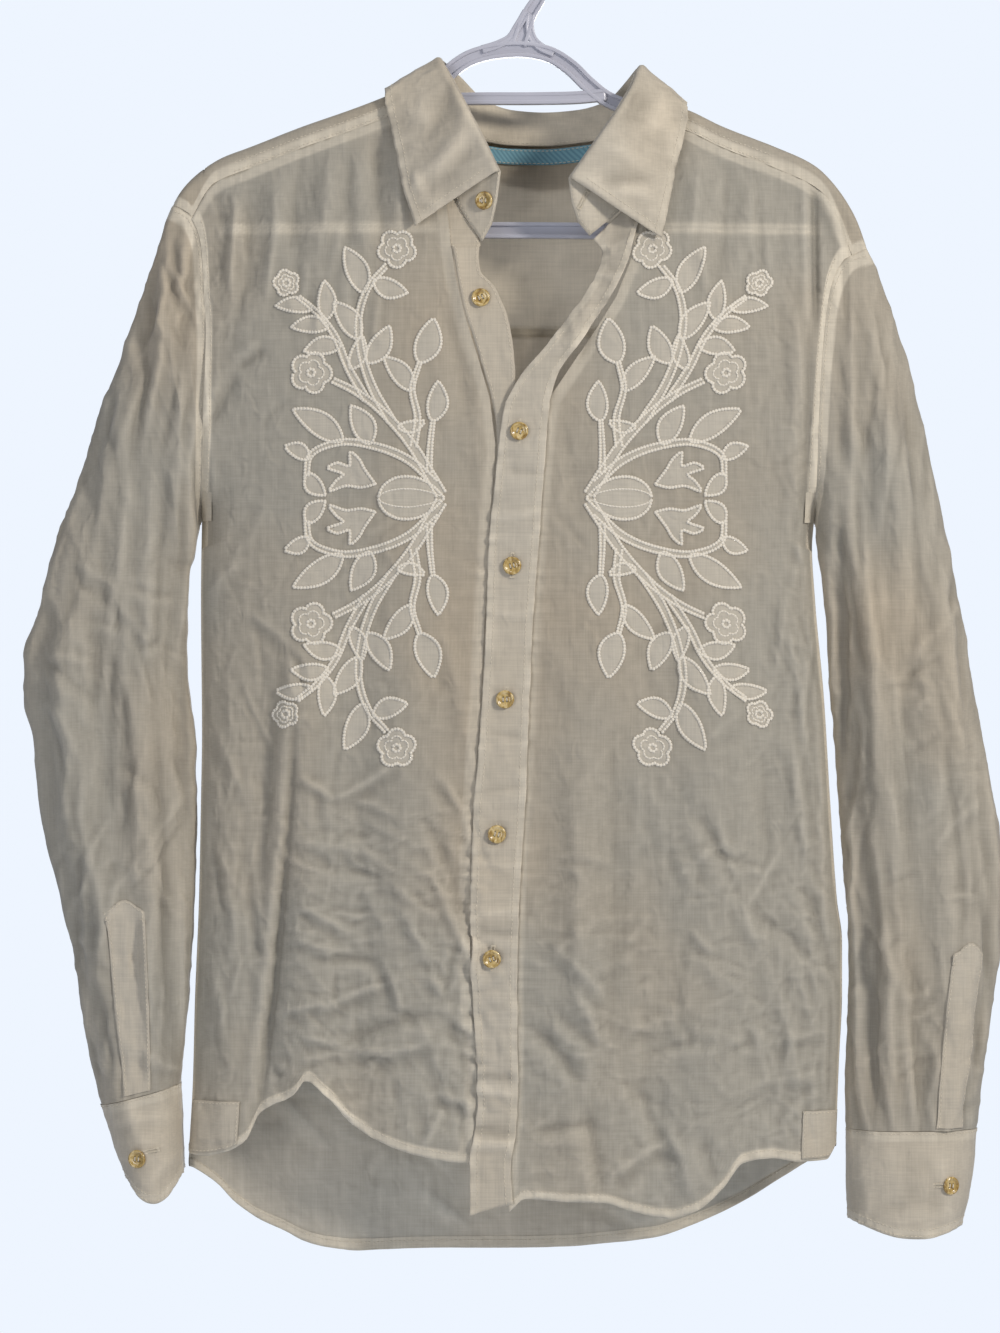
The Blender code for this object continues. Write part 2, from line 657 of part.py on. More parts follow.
# Collar. Each row: base, fold top and leaf edge. Front rows lie on the front of the shirt,
# back rows behind it; the depth is worked out from there.
COLLAR = [
    # base x, base v, fold x, fold v, leaf x, leaf v, fold y, turn (-1 front, 0 side, 1 back)
    (481, 246, 500, 178, 416, 232, -40.0, -1), (462, 216, 486, 148, 403, 190, -35.0, -1),
    (446, 178, 468, 112, 396, 152, -26.0, -1), (434, 130, 452, 80, 389, 122, -13.0, -1),
    (426, 89, 445, 66, 386, 106, -5.0, -1),
    (424, 80.5, 443, 61, 385, 98, 1.0, 0), (427, 88.5, 447, 63, 391, 108, 7.0, 1),
    (440, 112, 460, 74, 410, 128, 18.0, 1),
    (470, 134, 486, 96, 460, 162, 33.0, 1), (510, 141.5, 514, 104, 506, 182, 40.0, 1),
    (545, 142, 545, 106, 548, 188, 41.0, 1), (585, 139, 578, 104, 590, 182, 39.0, 1),
    (622, 132, 608, 96, 634, 166, 32.0, 1), (648, 120, 628, 78, 672, 140, 18.0, 1),
    (661, 107, 635, 70, 683, 120, 7.0, 1), (665, 99.5, 637, 68, 687, 108, 1.0, 0),
    (662, 109, 635, 73, 687, 118, -5.0, -1), (655, 146, 631, 86, 684, 136, -13.0, -1),
    (644, 182, 617, 112, 676, 168, -26.0, -1), (622, 212, 597, 142, 668, 206, -35.0, -1),
    (590, 240, 568, 184, 660, 243, -40.0, -1),
]


def collar_rows(fine):
    names = range(8)
    count = len(COLLAR)
    curves = [smooth_curve([(k, COLLAR[k][n]) for k in range(count)]) for n in names]
    out = []
    for i in range(fine + 1):
        q = i / fine * (count - 1)
        out.append([c(q) for c in curves])
    return out


def on_shirt(x, z, turn, lift):
    f = np.array([x, -front(x, z) - lift, z])
    b = np.array([x, back(x, z) + lift, z])
    w = step(-0.5, 0.5, turn)
    return f * (1 - w) + b * w


def collar_frames(fine):
    frames = []
    for bx, bv, fx, fv, lx, lv, fy, turn in collar_rows(fine):
        base = on_shirt(px(bx), pz(bv), turn, 0.4)
        fold = np.array([px(fx), fy, pz(fv)])
        leaf = on_shirt(px(lx), pz(lv), turn, 6.0)
        ridge = pz(RIDGE(lx))
        top = math.exp(-(turn / 0.45) ** 2)
        leaf[2] += max(ridge + 5.0 - leaf[2], 0.0) * top
        frames.append((base, fold, leaf))
    return frames


STAND_FRAMES = 36


def stand_wall():
    frames = collar_frames(STAND_FRAMES)
    grid = []
    for k, (base, fold, leaf) in enumerate(frames):
        low = base + unit(fold - base) * 0.45
        row = []
        for q in (0.0, 0.34, 0.67, 1.0):
            row.append(low + (fold - low) * q)
        grid.append(row)
    grid = np.array(grid)
    grid[0] = round_end(grid[0], grid[1], 5.0)
    grid[-1] = round_end(grid[-1], grid[-2], 5.0)
    dirs = grid_normals(grid, False)
    centre = np.array([px(540), 0, pz(130)])
    middle = STAND_FRAMES // 2
    if np.dot(dirs[middle][1], grid[middle][1] - centre) < 0:
        dirs = -dirs
    return grid, dirs


def round_end(row, next_row, reach):
    out = row.copy()
    for i, w in enumerate((0.15, 1.0, 0.9, 0.0)):
        out[i] = row[i] + unit(row[i] - next_row[i]) * reach * w
    return out


# Section of the leaf over the fold: rise above the stand and reach outwards, mm.
FOLD_OVER = [(0.0, 0.0), (2.4, 0.9), (3.6, 3.2), (2.8, 6.0)]


def leaf_wall():
    frames = collar_frames(40)
    grid, dirs = [], []
    for k, (base, fold, leaf) in enumerate(frames):
        along = unit(frames[min(k + 1, 40)][1] - frames[max(k - 1, 0)][1])
        away = leaf - fold
        flat = unit(away - along * np.dot(away, along))
        rise = unit(np.cross(along, flat))
        rise = rise if np.dot(rise, fold - base) > 0 else -rise
        start = fold + rise * (SEAM + 0.5)
        row = [start + rise * up + flat * across for up, across in FOLD_OVER]
        q3 = row[-1]
        for t in (0.34, 0.67, 1.0):
            row.append(q3 + (leaf - q3) * t + flat * 2.5 * math.sin(t * math.pi))
        grid.append(row)
        dirs.append(-flat)
    grid = np.array(grid)
    normals = grid_normals(grid, False)
    if normals[20][4][1] < 0:
        normals = -normals
    for i in range(len(frames)):
        normals[i][0] = dirs[i]
    return grid, normals


# Bands down the front.
FASTENED = [(519, 434), (512, 567), (505, 699), (497, 832), (492, 955)]
BAND_LEVELS = [1196, 1160, 1120, 1078, 1035, 990, 940, 885, 830, 775, 715, 655, 600, 545, 490,
               445, 405]


def placket_top():
    """The buttonhole band: down the front on top, and up the turned back neck edge."""
    grid, dirs = [], []
    lift = CLOTH + SEAM + 0.2
    for v in BAND_LEVELS:
        a, b = px(BAND_LEFT(v)), px(BAND_RIGHT(v))
        row, drow = [], []
        for q in (0.0, 0.33, 0.67, 1.0):
            x = a + (b - a) * q
            z = pz(v) - (8.0 * (1 - q) if v == 1196 else 0.0)
            n = normal_of(front, x, z, -1.0)
            row.append(np.array([x, -front(x, z), z]) + n * lift)
            drow.append(n)
        grid.append(row)
        dirs.append(drow)
    for v, ax, bx, turn, push, climb in [(378, 521, 557, 0.1, 0, 0), (350, 545, 576, 0.5, 3, 0),
                                         (322, 566, 595, 0.8, 6, 0), (296, 586, 612, 0.9, 7, 0),
                                         (272, 598, 626, 0.95, 8, 4), (256, 601, 636, 1.0, 8, 17)]:
        row, drow = [], []
        for q in (0.0, 0.33, 0.67, 1.0):
            x = px(ax) + (px(bx) - px(ax)) * q
            z = pz(v) + climb * q
            n = normal_of(front, x, z, -1.0)
            y = -front(x, z) + push * (1 - q) ** 1.3
            n = unit(n + np.array([-0.8 * turn, 0, 0.2 * turn]))
            row.append(np.array([x, y, z]) + np.array([0, -lift - 1.2, 0]))
            drow.append(n)
        grid.append(row)
        dirs.append(drow)
    return wall("placket_left", np.array(grid), np.array(dirs), CLOTH, "cloth")


def placket_under():
    """The button band, under the other one and open at the neck."""
    grid, dirs = [], []
    rows = [(v, min(BAND_LEFT(v) + 0.6, R_SEAM(v) + 0.3), BAND_RIGHT(v) - 8.0)
            for v in [1154] + BAND_LEVELS[2:]]
    rows += [(v, R_SEAM(v) + 0.3, OPEN_R(v)) for v in (375, 345, 318, 300, 282, 264, 251)]
    for v, a, b in rows:
        row, drow = [], []
        for q in (0.0, 0.33, 0.67, 1.0):
            x = px(a) + (px(b) - px(a)) * q
            z = pz(v)
            n = normal_of(front, x, z, -1.0)
            row.append(np.array([x, -front(x, z) + 0.8 * step(300, 400, v), z]))
            drow.append(n)
        grid.append(row)
        dirs.append(drow)
    return wall("placket_right", np.array(grid), np.array(dirs), CLOTH, "cloth")


# Buttons: a raised rim round a sunk middle.
def button(name, centre, normal, size=BUTTON, thick=2.4):
    r = size / 2
    profile = [(0.0, 0.0), (r * 0.82, 0.0), (r, thick * 0.38), (r * 0.96, thick * 0.8),
               (r * 0.84, thick), (r * 0.7, thick * 0.92), (r * 0.6, thick * 0.66), (0.0, thick * 0.6)]
    n = unit(np.array(normal, float))
    a = unit(np.cross(n, [0, 0, 1.0]))
    b = np.cross(n, a)
    count = 12
    verts, faces, rings = [], [], []
    for radius, height in profile:
        if radius == 0.0:
            rings.append([len(verts)])
            verts.append(centre + n * height)
        else:
            rings.append(list(range(len(verts), len(verts) + count)))
            for k in range(count):
                q = 2 * math.pi * k / count
                verts.append(centre + n * height + (a * math.cos(q) + b * math.sin(q)) * radius)
    for lower, upper in zip(rings, rings[1:]):
        for k in range(count):
            m = (k + 1) % count
            if len(lower) == 1:
                faces.append((lower[0], upper[k], upper[m]))
            elif len(upper) == 1:
                faces.append((lower[k], upper[0], lower[m]))
            else:
                faces.append((lower[k], upper[k], upper[m], lower[m]))
    return make(name, verts, faces, "button")


def patch(name, grid, dirs, lift, thick, material="cloth"):
    """A piece that lies on a panel: the panel's points moved out."""
    return wall(name, grid + dirs * (lift + thick), dirs, thick, material)


def on_wall(grid, dirs, x, z):
    """Point and outward direction on the front of a wall, straight behind a place seen."""
    best = None
    rows, cols = grid.shape[:2]
    for i in range(rows - 1):
        for j in range(cols - 1):
            corners = [(i, j), (i, j + 1), (i + 1, j + 1), (i + 1, j)]
            for trio in ((0, 1, 2), (0, 2, 3)):
                a, b, c = (grid[corners[k]] for k in trio)
                det = (b[0] - a[0]) * (c[2] - a[2]) - (c[0] - a[0]) * (b[2] - a[2])
                if abs(det) < 1e-9:
                    continue
                s = ((x - a[0]) * (c[2] - a[2]) - (c[0] - a[0]) * (z - a[2])) / det
                t = ((b[0] - a[0]) * (z - a[2]) - (x - a[0]) * (b[2] - a[2])) / det
                if s < -1e-6 or t < -1e-6 or s + t > 1 + 1e-6:
                    continue
                p = a + (b - a) * s + (c - a) * t
                n = unit(np.cross(b - a, c - a))
                if np.dot(n, dirs[corners[trio[0]]]) < 0:
                    n = -n
                if best is None or p[1] < best[0][1]:
                    best = (p, n)
    return best


def neck_tape():
    grid, dirs = [], []
    for drop in (3.0, 7.0, 11.0):
        row, drow = [], []
        for k in range(12):
            u = 484 + (604 - 484) * k / 11
            x, z = px(u), pz(NECK_BACK(u)) - drop
            n = normal_of(back, x, z, 1.0)
            row.append(np.array([x, back(x, z), z]) - n * (CLOTH + 0.7))
            drow.append(n)
        grid.append(row)
        dirs.append(drow)
    return wall("neck_tape", np.array(grid), np.array(dirs), 1.0, "tape")


def gusset(side):
    name = "gusset_right" if side == "r" else "gusset_left"
    curve = EDGE_R if side == "r" else EDGE_L
    out = -1.0 if side == "r" else 1.0
    width = 50.0 if side == "r" else 37.0
    grid, dirs = [], []
    for v in (1142, 1128, 1112, 1098) if side == "r" else (1147, 1134, 1121, 1108):
        row, drow = [], []
        for c in (0.10, 0.22, 0.4, 0.62, 0.82, 1.0):
            x = px(curve(v) - out * width * c)
            z = pz(min(v, (HEM_R if side == "r" else HEM_L)(x / UNIT + 525) - 3.0))
            if v > 1140:
                z = pz((HEM_R if side == "r" else HEM_L)(x / UNIT + 525) - 4.0)
            n = normal_of(front, x, z, -1.0)
            row.append(np.array([x, -front(x, z), z]) + n * (SEAM + 0.5 + 1.0))
            drow.append(n)
        grid.append(row)
        dirs.append(drow)
    return wall(name, np.array(grid), np.array(dirs), 1.0, "cloth")


# Hanger.
def sweep(name, path, profile, material="hanger", closed_ends=True):
    verts, faces = [], []
    m = len(profile)
    for i, (x, z) in enumerate(path):
        x0, z0 = path[max(i - 1, 0)]
        x1, z1 = path[min(i + 1, len(path) - 1)]
        t = unit(np.array([x1 - x0, z1 - z0]))
        for across, deep in profile:
            verts.append(np.array([x - t[1] * across, deep, z + t[0] * across]))
    for i in range(len(path) - 1):
        for j in range(m):
            k = (j + 1) % m
            faces.append((i * m + j, i * m + k, (i + 1) * m + k, (i + 1) * m + j))
    faces.append(tuple(range(m)))
    faces.append(tuple(range((len(path) - 1) * m, len(path) * m))[::-1])
    return make(name, verts, faces, material)


def i_section(height, depth, rim, web):
    h, d = height / 2, depth / 2
    return [(h, -d), (h, d), (h - rim, d), (h - rim, web / 2), (-h + rim, web / 2),
            (-h + rim, d), (-h, d), (-h, -d), (-h + rim, -d), (-h + rim, -web / 2),
            (h - rim, -web / 2), (h - rim, -d)]


def arm_path():
    """Centre of the arms: 6 mm under the cloth along the shoulders, up over the arch."""
    left = [(u, RIDGE(u) + 12.6) for u in (218, 232, 256, 299, 350, 384)]
    left.append((402, RIDGE(402) + 14.5))
    arch = [(422, 97), (438, 88), (452, 76), (467, 59), (488, 47), (506, 42), (521, 44), (535, 43),
            (549, 47), (571, 61), (588, 78), (605, 95), (628, 108), (650, 115)]
    right = [(670, RIDGE(670) + 14.5)]
    right += [(u, RIDGE(u) + 12.6) for u in (690, 721, 775, 798, 811)]
    return [(px(u), pz(v)) for u, v in left + arch + right]


def hanger():
    pieces = [sweep("hanger", arm_path(), i_section(7.6, 6.6, 2.0, 2.6))]
    bar = [(px(221), pz(174)), (px(214), pz(200)), (px(219), pz(221)), (px(236), pz(230)),
           (px(270), pz(231)), (px(510), pz(230.5)), (px(765), pz(231)), (px(796), pz(230)),
           (px(812), pz(220)), (px(815), pz(202)), (px(808), pz(182))]
    pieces.append(sweep("hanger_bar", bar, i_section(10.6, 7.2, 2.6, 2.8)))
    upper = [(px(444), pz(99.5)), (px(480), pz(97.5)), (px(540), pz(96)), (px(606), pz(93))]
    pieces.append(sweep("hanger_upper", upper, i_section(6.4, 7.0, 1.8, 2.6)))
    stay = [(px(448), pz(74)), (px(444), pz(88)), (px(446), pz(101))]
    pieces.append(sweep("hanger_stay", stay, i_section(6.0, 7.4, 1.8, 2.8)))
    hook = [(px(523.5), pz(58)), (px(519.5), pz(36)), (px(527), pz(16)), (px(538), pz(1))]
    turn = []
    for a in range(-28, 226, 12):
        q = math.radians(a)
        turn.append((22.0 * math.cos(q), -19.1 + 22.0 * math.sin(q)))
    start = [(p[0], p[1]) for p in hook]
    round_bar = [(3.1 * math.cos(math.radians(q)), 3.1 * math.sin(math.radians(q)))
                 for q in range(0, 360, 36)]
    path = start + [(13.8, -38.8)] + turn
    pieces.append(sweep("hanger_hook", path, round_bar))
    target = pieces[0]
    for other in pieces[1:]:
        mod = target.modifiers.new("join", "BOOLEAN")
        mod.operation, mod.solver, mod.object = "UNION", "EXACT", other
        graph = bpy.context.evaluated_depsgraph_get()
        graph.update()
        mesh = bpy.data.meshes.new_from_object(target.evaluated_get(graph))
        target.modifiers.clear()
        old = target.data
        target.data = mesh
        bpy.data.meshes.remove(old)
        bpy.data.objects.remove(other)
    target.data.name = "hanger"
    return target


def clear_scene():
    for obj in list(bpy.data.objects):
        bpy.data.objects.remove(obj)


def build():
    clear_scene()
    fr_grid, fr_dirs = front_panel("r")
    fl_grid, fl_dirs = front_panel("l")
    wall("front_right", fr_grid, fr_dirs, CLOTH, "cloth")
    wall("front_left", fl_grid, fl_dirs, CLOTH, "cloth")
    bk_grid, bk_dirs = back_panel()
    wall("back", bk_grid, bk_dirs, CLOTH, "cloth")
    yk_grid, yk_dirs = yoke_panel()
    wall("yoke", yk_grid, yk_dirs, CLOTH, "cloth")
    spots = {"r": (142, 1153, 5, 8, 14), "l": (946, 1181, 3, 6, 14)}
    for side, name in (("r", "right"), ("l", "left")):
        grid, dirs = sleeve(side)
        wall("sleeve_" + name, grid, dirs, CLOTH, "cloth", closed=True)
        cgrid, cdirs = cuff(side, grid)
        wall("cuff_" + name, cgrid, cdirs, CLOTH + 0.4, "cloth", closed=True)
        u, v, c0, c1, r0 = spots[side]
        patch("sleeve_placket_" + name, grid[r0:, c0:c1], dirs[r0:, c0:c1], SEAM, 1.0)
        p, n = on_wall(cgrid, cdirs, px(u), pz(v))
        button("button_cuff_" + name, p + n * 0.6, n)
        gusset(side)
    neck_tape()
    sgrid, sdirs = stand_wall()
    wall("collar_stand", sgrid, sdirs, CLOTH + 0.3, "cloth")
    lgrid, ldirs = leaf_wall()
    wall("collar_leaf", lgrid, ldirs, CLOTH, "cloth")
    p, n = on_wall(sgrid[:8], sdirs[:8], px(485), pz(206))
    button("button_collar", p + n * 0.6, n, thick=2.0)
    placket_top()
    placket_under()
    lift = CLOTH + SEAM + 0.2
    for k, (u, v) in enumerate(FASTENED):
        x, z = px(u), pz(v)
        n = normal_of(front, x, z, -1.0)
        button("button_%d" % (k + 3), np.array([x, -front(x, z), z]) + n * (lift + 0.8), n)
    x, z = px(481), pz(302)
    n = normal_of(front, x, z, -1.0)
    button("button_second", np.array([x, -front(x, z), z]) + n * 0.8, n)
    hanger()


build()
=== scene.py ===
# The looks of a sheer button-up shirt on a moulded hanger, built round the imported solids.
# Cloth is worked out in millimetres and made in metres. +Z up, -Y to the front,
# X to the wearer's left. Tables place things in outline units, 0.66 mm each, from the top
# left corner of the framed view: across, then down.
import math

import bmesh
import bpy
import numpy as np
from mathutils import Matrix, Vector


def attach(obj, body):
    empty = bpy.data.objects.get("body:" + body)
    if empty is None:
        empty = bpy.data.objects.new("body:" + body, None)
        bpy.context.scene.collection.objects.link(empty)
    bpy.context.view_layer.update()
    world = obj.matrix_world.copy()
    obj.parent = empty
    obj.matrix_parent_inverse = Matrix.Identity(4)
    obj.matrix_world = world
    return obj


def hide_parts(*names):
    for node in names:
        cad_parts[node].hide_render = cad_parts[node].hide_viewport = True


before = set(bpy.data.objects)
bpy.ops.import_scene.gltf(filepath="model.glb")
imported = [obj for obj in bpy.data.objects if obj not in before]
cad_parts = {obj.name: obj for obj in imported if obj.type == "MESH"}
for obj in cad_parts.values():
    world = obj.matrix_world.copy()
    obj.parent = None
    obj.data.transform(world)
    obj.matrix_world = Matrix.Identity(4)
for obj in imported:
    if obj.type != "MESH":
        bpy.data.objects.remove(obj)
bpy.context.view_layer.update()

MM = 0.001
UNIT = 0.66            # mm to one unit of the outline tables
SEAM = 0.4
ARM_RADIUS = 7.2
FRONT_DEPTH = 36.0
BACK_DEPTH = 24.0
BAND_LIFT = 1.8        # how far the outer band lies over the front
HEM_WIDTH = 6.5
PLY = 0.7              # space between the two layers of a turned edge
OUT = {"r": -1.0, "l": 1.0}   # the way out across each side
TUCKS = ((0.8, 0.9), (3.0, 1.0), (6.0, 1.1))   # rise and depth of a seam allowance, row by row
ARM_TUCKS = (7.0, 4.0, 1.0)   # how far in the sleeve's seam allowance lies, row by row
FRONT_ROWS, FRONT_COLS = 350, 118
BACK_ROWS, BACK_COLS = 250, 150
YOKE_ROWS = 64
SIDE_TURNING = 8.0
YOKE_DROP = 15.0       # front yoke seam below the ridge
BACK_SEAM = -271.0     # height of the back yoke seam
UNDERARM, BELOW_ARM = 60.0, 30.0   # units above and below the armpit that it draws in


# Outline of the shirt.
def px(u):
    return (np.asarray(u, float) - 525.0) * UNIT


def pz(v):
    return -50.0 - UNIT * np.asarray(v, float)


def units(x):
    return x / UNIT + 525.0


def level(z):
    return (-50.0 - z) / UNIT


def hermite(xs, ys, slopes, q):
    """Smooth curve through points with a given slope at each."""
    i = np.clip(np.searchsorted(xs, q, side="right") - 1, 0, len(xs) - 2)
    h = xs[i + 1] - xs[i]
    t = (q - xs[i]) / h
    return ((2 * t**3 - 3 * t**2 + 1) * ys[i] + (t**3 - 2 * t**2 + t) * h * slopes[i]
            + (3 * t**2 - 2 * t**3) * ys[i + 1] + (t**3 - t**2) * h * slopes[i + 1])


def curve(rows):
    """Monotone cubic through (where, value) rows."""
    xs, ys = np.array(sorted(rows), float).T
    h = np.diff(xs)
    s = np.diff(ys) / h
    m = np.concatenate([s[:1], np.zeros(len(xs) - 2), s[-1:]])
    for i in range(1, len(xs) - 1):
        if s[i - 1] * s[i] > 0:
            w1, w2 = 2 * h[i] + h[i - 1], h[i] + 2 * h[i - 1]
            m[i] = (w1 + w2) / (w1 / s[i - 1] + w2 / s[i])
    return lambda q: hermite(xs, ys, m, np.clip(q, xs[0], xs[-1]))


def step(a, b, q):
    t = np.clip((q - a) / (b - a), 0.0, 1.0)
    return t * t * (3 - 2 * t)


def bell(q):
    return np.exp(-q * q)


RIDGE = curve([(172, 207), (180, 193), (190, 181), (204, 169), (222, 158), (248, 148),
               (299, 128), (350, 110), (384, 97), (410, 86), (430, 80), (540, 84),
               (640, 95), (667, 103), (688, 110), (721, 126), (775, 147), (815, 166),
               (832, 182), (855, 217), (868, 252)])
EDGE = {
    "r": curve([(207, 172), (217, 190), (250, 202), (300, 205.5), (336, 207.5), (420, 205),
                (520, 202), (600, 201), (735, 202), (800, 201), (900, 199), (1000, 195),
                (1080, 193), (1150, 189)]),
    "l": curve([(252, 868), (263, 843), (310, 826), (400, 818), (520, 814), (548, 812),
                (600, 815), (700, 824), (800, 830), (900, 837), (940, 842), (994, 842),
                (1060, 839), (1137, 836)]),
}
BAND_LEFT = curve([(401, 506), (429, 501), (482, 495), (559, 488), (628, 486), (699, 482),
                   (758, 478), (817, 473), (919, 471), (1005, 473), (1075, 478),
                   (1110, 477), (1155, 470), (1209, 470)])
BAND_RIGHT = curve([(401, 549), (482, 543), (551, 538), (615, 533), (699, 529),
                    (804, 525), (868, 521), (931, 518), (1011, 517), (1075, 518),
                    (1123, 516), (1164, 511), (1196, 513)])
OPEN_EDGE = curve([(247, 480), (262, 479), (276, 481), (290, 494), (304, 501), (319, 507),
                   (360, 514), (401, 516)])
ARMPIT = {"r": 520.0, "l": 522.0}
TOP = {"r": 207.0, "l": 252.0}
HEM = {
    "r": curve([(189, 1152), (202, 1153), (228, 1148), (248, 1136), (262, 1109),
                (296, 1090), (308, 1076), (330, 1092), (354, 1119), (393, 1141),
                (422, 1150), (468, 1157), (520, 1157)]),
    "l": curve([(470, 1209), (508, 1205), (524, 1192), (567, 1195), (600, 1196),
                (634, 1206), (668, 1212), (693, 1205), (721, 1182), (741, 1158),
                (769, 1154), (797, 1158), (825, 1157), (836, 1140)]),
}
HEM_BACK = curve([(189, 1166), (216, 1187), (233, 1206), (260, 1225), (282, 1235),
                  (301, 1245), (325, 1252), (362, 1256), (447, 1254), (558, 1253),
                  (623, 1248), (656, 1243), (693, 1230), (741, 1208), (774, 1188),
                  (811, 1163), (836, 1146)])
FRONT_FOLDS = [
    # across and down at the top, across and down at the foot, height mm, half width mm
    (262, 690, 266, 1090, -5.0, 19), (232, 690, 228, 1090, 3.0, 18),
    (304, 600, 308, 1070, 4.5, 24), (356, 560, 352, 1110, -3.0, 20),
    (404, 380, 410, 1120, 3.0, 24), (600, 520, 572, 1170, 3.0, 26),
    (655, 420, 650, 1180, -3.0, 22), (706, 600, 712, 1170, 4.0, 24),
    (762, 470, 758, 1120, -3.0, 22),
]
BACK_FOLDS = [
    (250, 360, 240, 1150, 4.5, 26), (322, 340, 330, 1220, -4.5, 24),
    (410, 345, 404, 1230, 5.0, 26), (510, 345, 510, 1230, -3.0, 26),
    (600, 345, 610, 1230, 5.0, 26), (690, 345, 684, 1200, -4.5, 24),
    (772, 360, 780, 1140, 4.5, 24),
]


def folds(table, x, z):
    total = np.zeros(np.broadcast(x, z).shape)
    for x0, v0, x1, v1, height, half in table:
        t = (pz(v0) - z) / (pz(v0) - pz(v1))
        middle = px(x0) + (px(x1) - px(x0)) * t
        along = step(-0.12, 0.22, t) * (1 - 0.35 * step(0.8, 1.12, t)) * (t < 1.12)
        total = total + height * along * bell((x - middle) / half)
    return total


def section(x, z):
    """How far through the superellipse a point lies: 1 in the middle, 0 at a closed side."""
    v = level(z)
    a, b = px(EDGE["r"](np.maximum(v, 330.0))), px(EDGE["l"](np.maximum(v, 400.0)))
    side = 1.0 + 0.13 * (1 - step(430.0, 521.0, v))
    u = np.minimum(np.abs(x - (a + b) / 2) / ((b - a) / 2 * side), 1.0)
    return (1 - u**2.5) ** 0.4


def drape(d, reach):
    return 1 - np.exp(-(np.maximum(d - ARM_RADIUS, 0.0) / reach) ** 2)


def around(d):
    q = 1 - np.clip(d / ARM_RADIUS, 0.0, 1.0)
    return ARM_RADIUS * np.sqrt(np.maximum(1 - q * q, 0.0))


def front_form(x, z):
    d = pz(RIDGE(units(x))) - z
    g = section(x, z)
    full = FRONT_DEPTH * (1 + 0.08 * step(-300.0, -830.0, z)) * g
    s = drape(d, 72.0)
    return full * s + around(d) * (1 - s) + folds(FRONT_FOLDS, x, z) * np.minimum(g * 1.6, 1) * s


def back_form(x, z):
    d = pz(RIDGE(units(x))) - z
    g = section(x, z)
    full = BACK_DEPTH * (1 + 0.35 * step(-300.0, -860.0, z)) * g
    s = drape(d, 84.0)
    nape = 20.0 * bell((x - 8.0) / 66.0) * bell((z + 146.0) / 75.0) * step(0, 30, d)
    return (full * s + around(d) * (1 - s) + nape
            + folds(BACK_FOLDS, x, z) * np.minimum(g * 1.6, 1) * s)


# Creases. Each row: where it starts and ends, its height (minus for a trough) and its half
# width in mm, then how far its middle bows sideways in mm.
def crease(row, x, z):
    x0, v0, x1, v1, height, half, bow = row
    ax, az, bx, bz = px(x0), pz(v0), px(x1), pz(v1)
    dx, dz = bx - ax, bz - az
    size = math.hypot(dx, dz)
    u = ((x - ax) * dx + (z - az) * dz) / size**2
    q = (((x - ax) * dz - (z - az) * dx) / size + bow * 4 * u * (1 - u)) / half
    along = step(-0.12, 0.3, u) * (1 - step(0.7, 1.12, u))
    return height * along * (np.exp(-np.abs(q) ** 1.35) - 0.42 * bell((q - 1.7) / 1.1))


def creases(rows, x, z):
    return sum(crease(row, x, z) for row in rows)


RELIEF_PITCH = 0.75
HOLLOW_REACH = 6       # lattice steps over which a hollow is judged


def blurred(field, reach):
    for axis in (0, 1):
        first, last = field.take([0], axis), field.take([-1], axis)
        wide = np.concatenate([np.repeat(first, reach + 1, axis), field, np.repeat(last, reach, axis)], axis)
        total, n = wide.cumsum(axis), field.shape[axis]
        after, before = np.arange(n) + 2 * reach + 1, np.arange(n)
        field = (total.take(after, axis) - total.take(before, axis)) / (2 * reach + 1)
    return field


class Relief:
    """Heights over one field of cloth: worked out once on a fine lattice, then read off it."""

    def __init__(self, u0, v0, u1, v1):
        self.x = np.arange(px(u0), px(u1), RELIEF_PITCH)[:, None]
        self.z = np.arange(pz(v1), pz(v0), RELIEF_PITCH)[None, :]
        self.field = np.zeros((self.x.size, self.z.size))
        self.dip = None

    def press(self, rows, share=1.0):
        """Adds a table of creases, each only where it reaches."""
        for row in rows:
            us, vs = px(np.array(row[0:3:2])), pz(np.array(row[1:4:2]))
            reach = 4.2 * row[5] + abs(row[6]) + 0.16 * float(np.hypot(np.ptp(us), np.ptp(vs)))
            i0, i1 = np.searchsorted(self.x[:, 0], (us.min() - reach, us.max() + reach))
            j0, j1 = np.searchsorted(self.z[0], (vs.min() - reach, vs.max() + reach))
            if i1 > i0 and j1 > j0:
                self.field[i0:i1, j0:j1] += share * crease(row, self.x[i0:i1], self.z[:, j0:j1])

    def hollow(self, x, z):
        """How deep a place lies in a hollow, in mm. Minus on a ridge."""
        if self.dip is None:
            self.dip = blurred(self.field, HOLLOW_REACH) - self.field
        return self.read(self.dip, x, z)

    def __call__(self, x, z):
        return self.read(self.field, x, z)

    def read(self, field, x, z):
        rows, cols = field.shape
        a = np.clip((x - self.x[0, 0]) / RELIEF_PITCH, 0, rows - 1.001)
        b = np.clip((z - self.z[0, 0]) / RELIEF_PITCH, 0, cols - 1.001)
        i, j = a.astype(int), b.astype(int)
        f, g = a - i, b - j
        low = field[i, j] * (1 - f) + field[i + 1, j] * f
        high = field[i, j + 1] * (1 - f) + field[i + 1, j + 1] * f
        return low * (1 - g) + high * g


def loose_creases(seed, count, area, lean, spread, lengths, heights, halves):
    """Small uneven creases strewn over an area, most of them leaning one way (degrees)."""
    rng = np.random.default_rng(seed)
    rows = []
    for _ in range(count):
        x0, v0 = rng.uniform(area[0], area[2]), rng.uniform(area[1], area[3])
        a = math.radians(lean + rng.normal() * spread)
        size = rng.uniform(*lengths) / UNIT
        rows.append((x0, v0, x0 + size * math.sin(a), v0 + size * math.cos(a),
                     rng.uniform(*heights) * rng.choice([-1, 1]), rng.uniform(*halves),
                     rng.uniform(-3, 3)))
    return rows


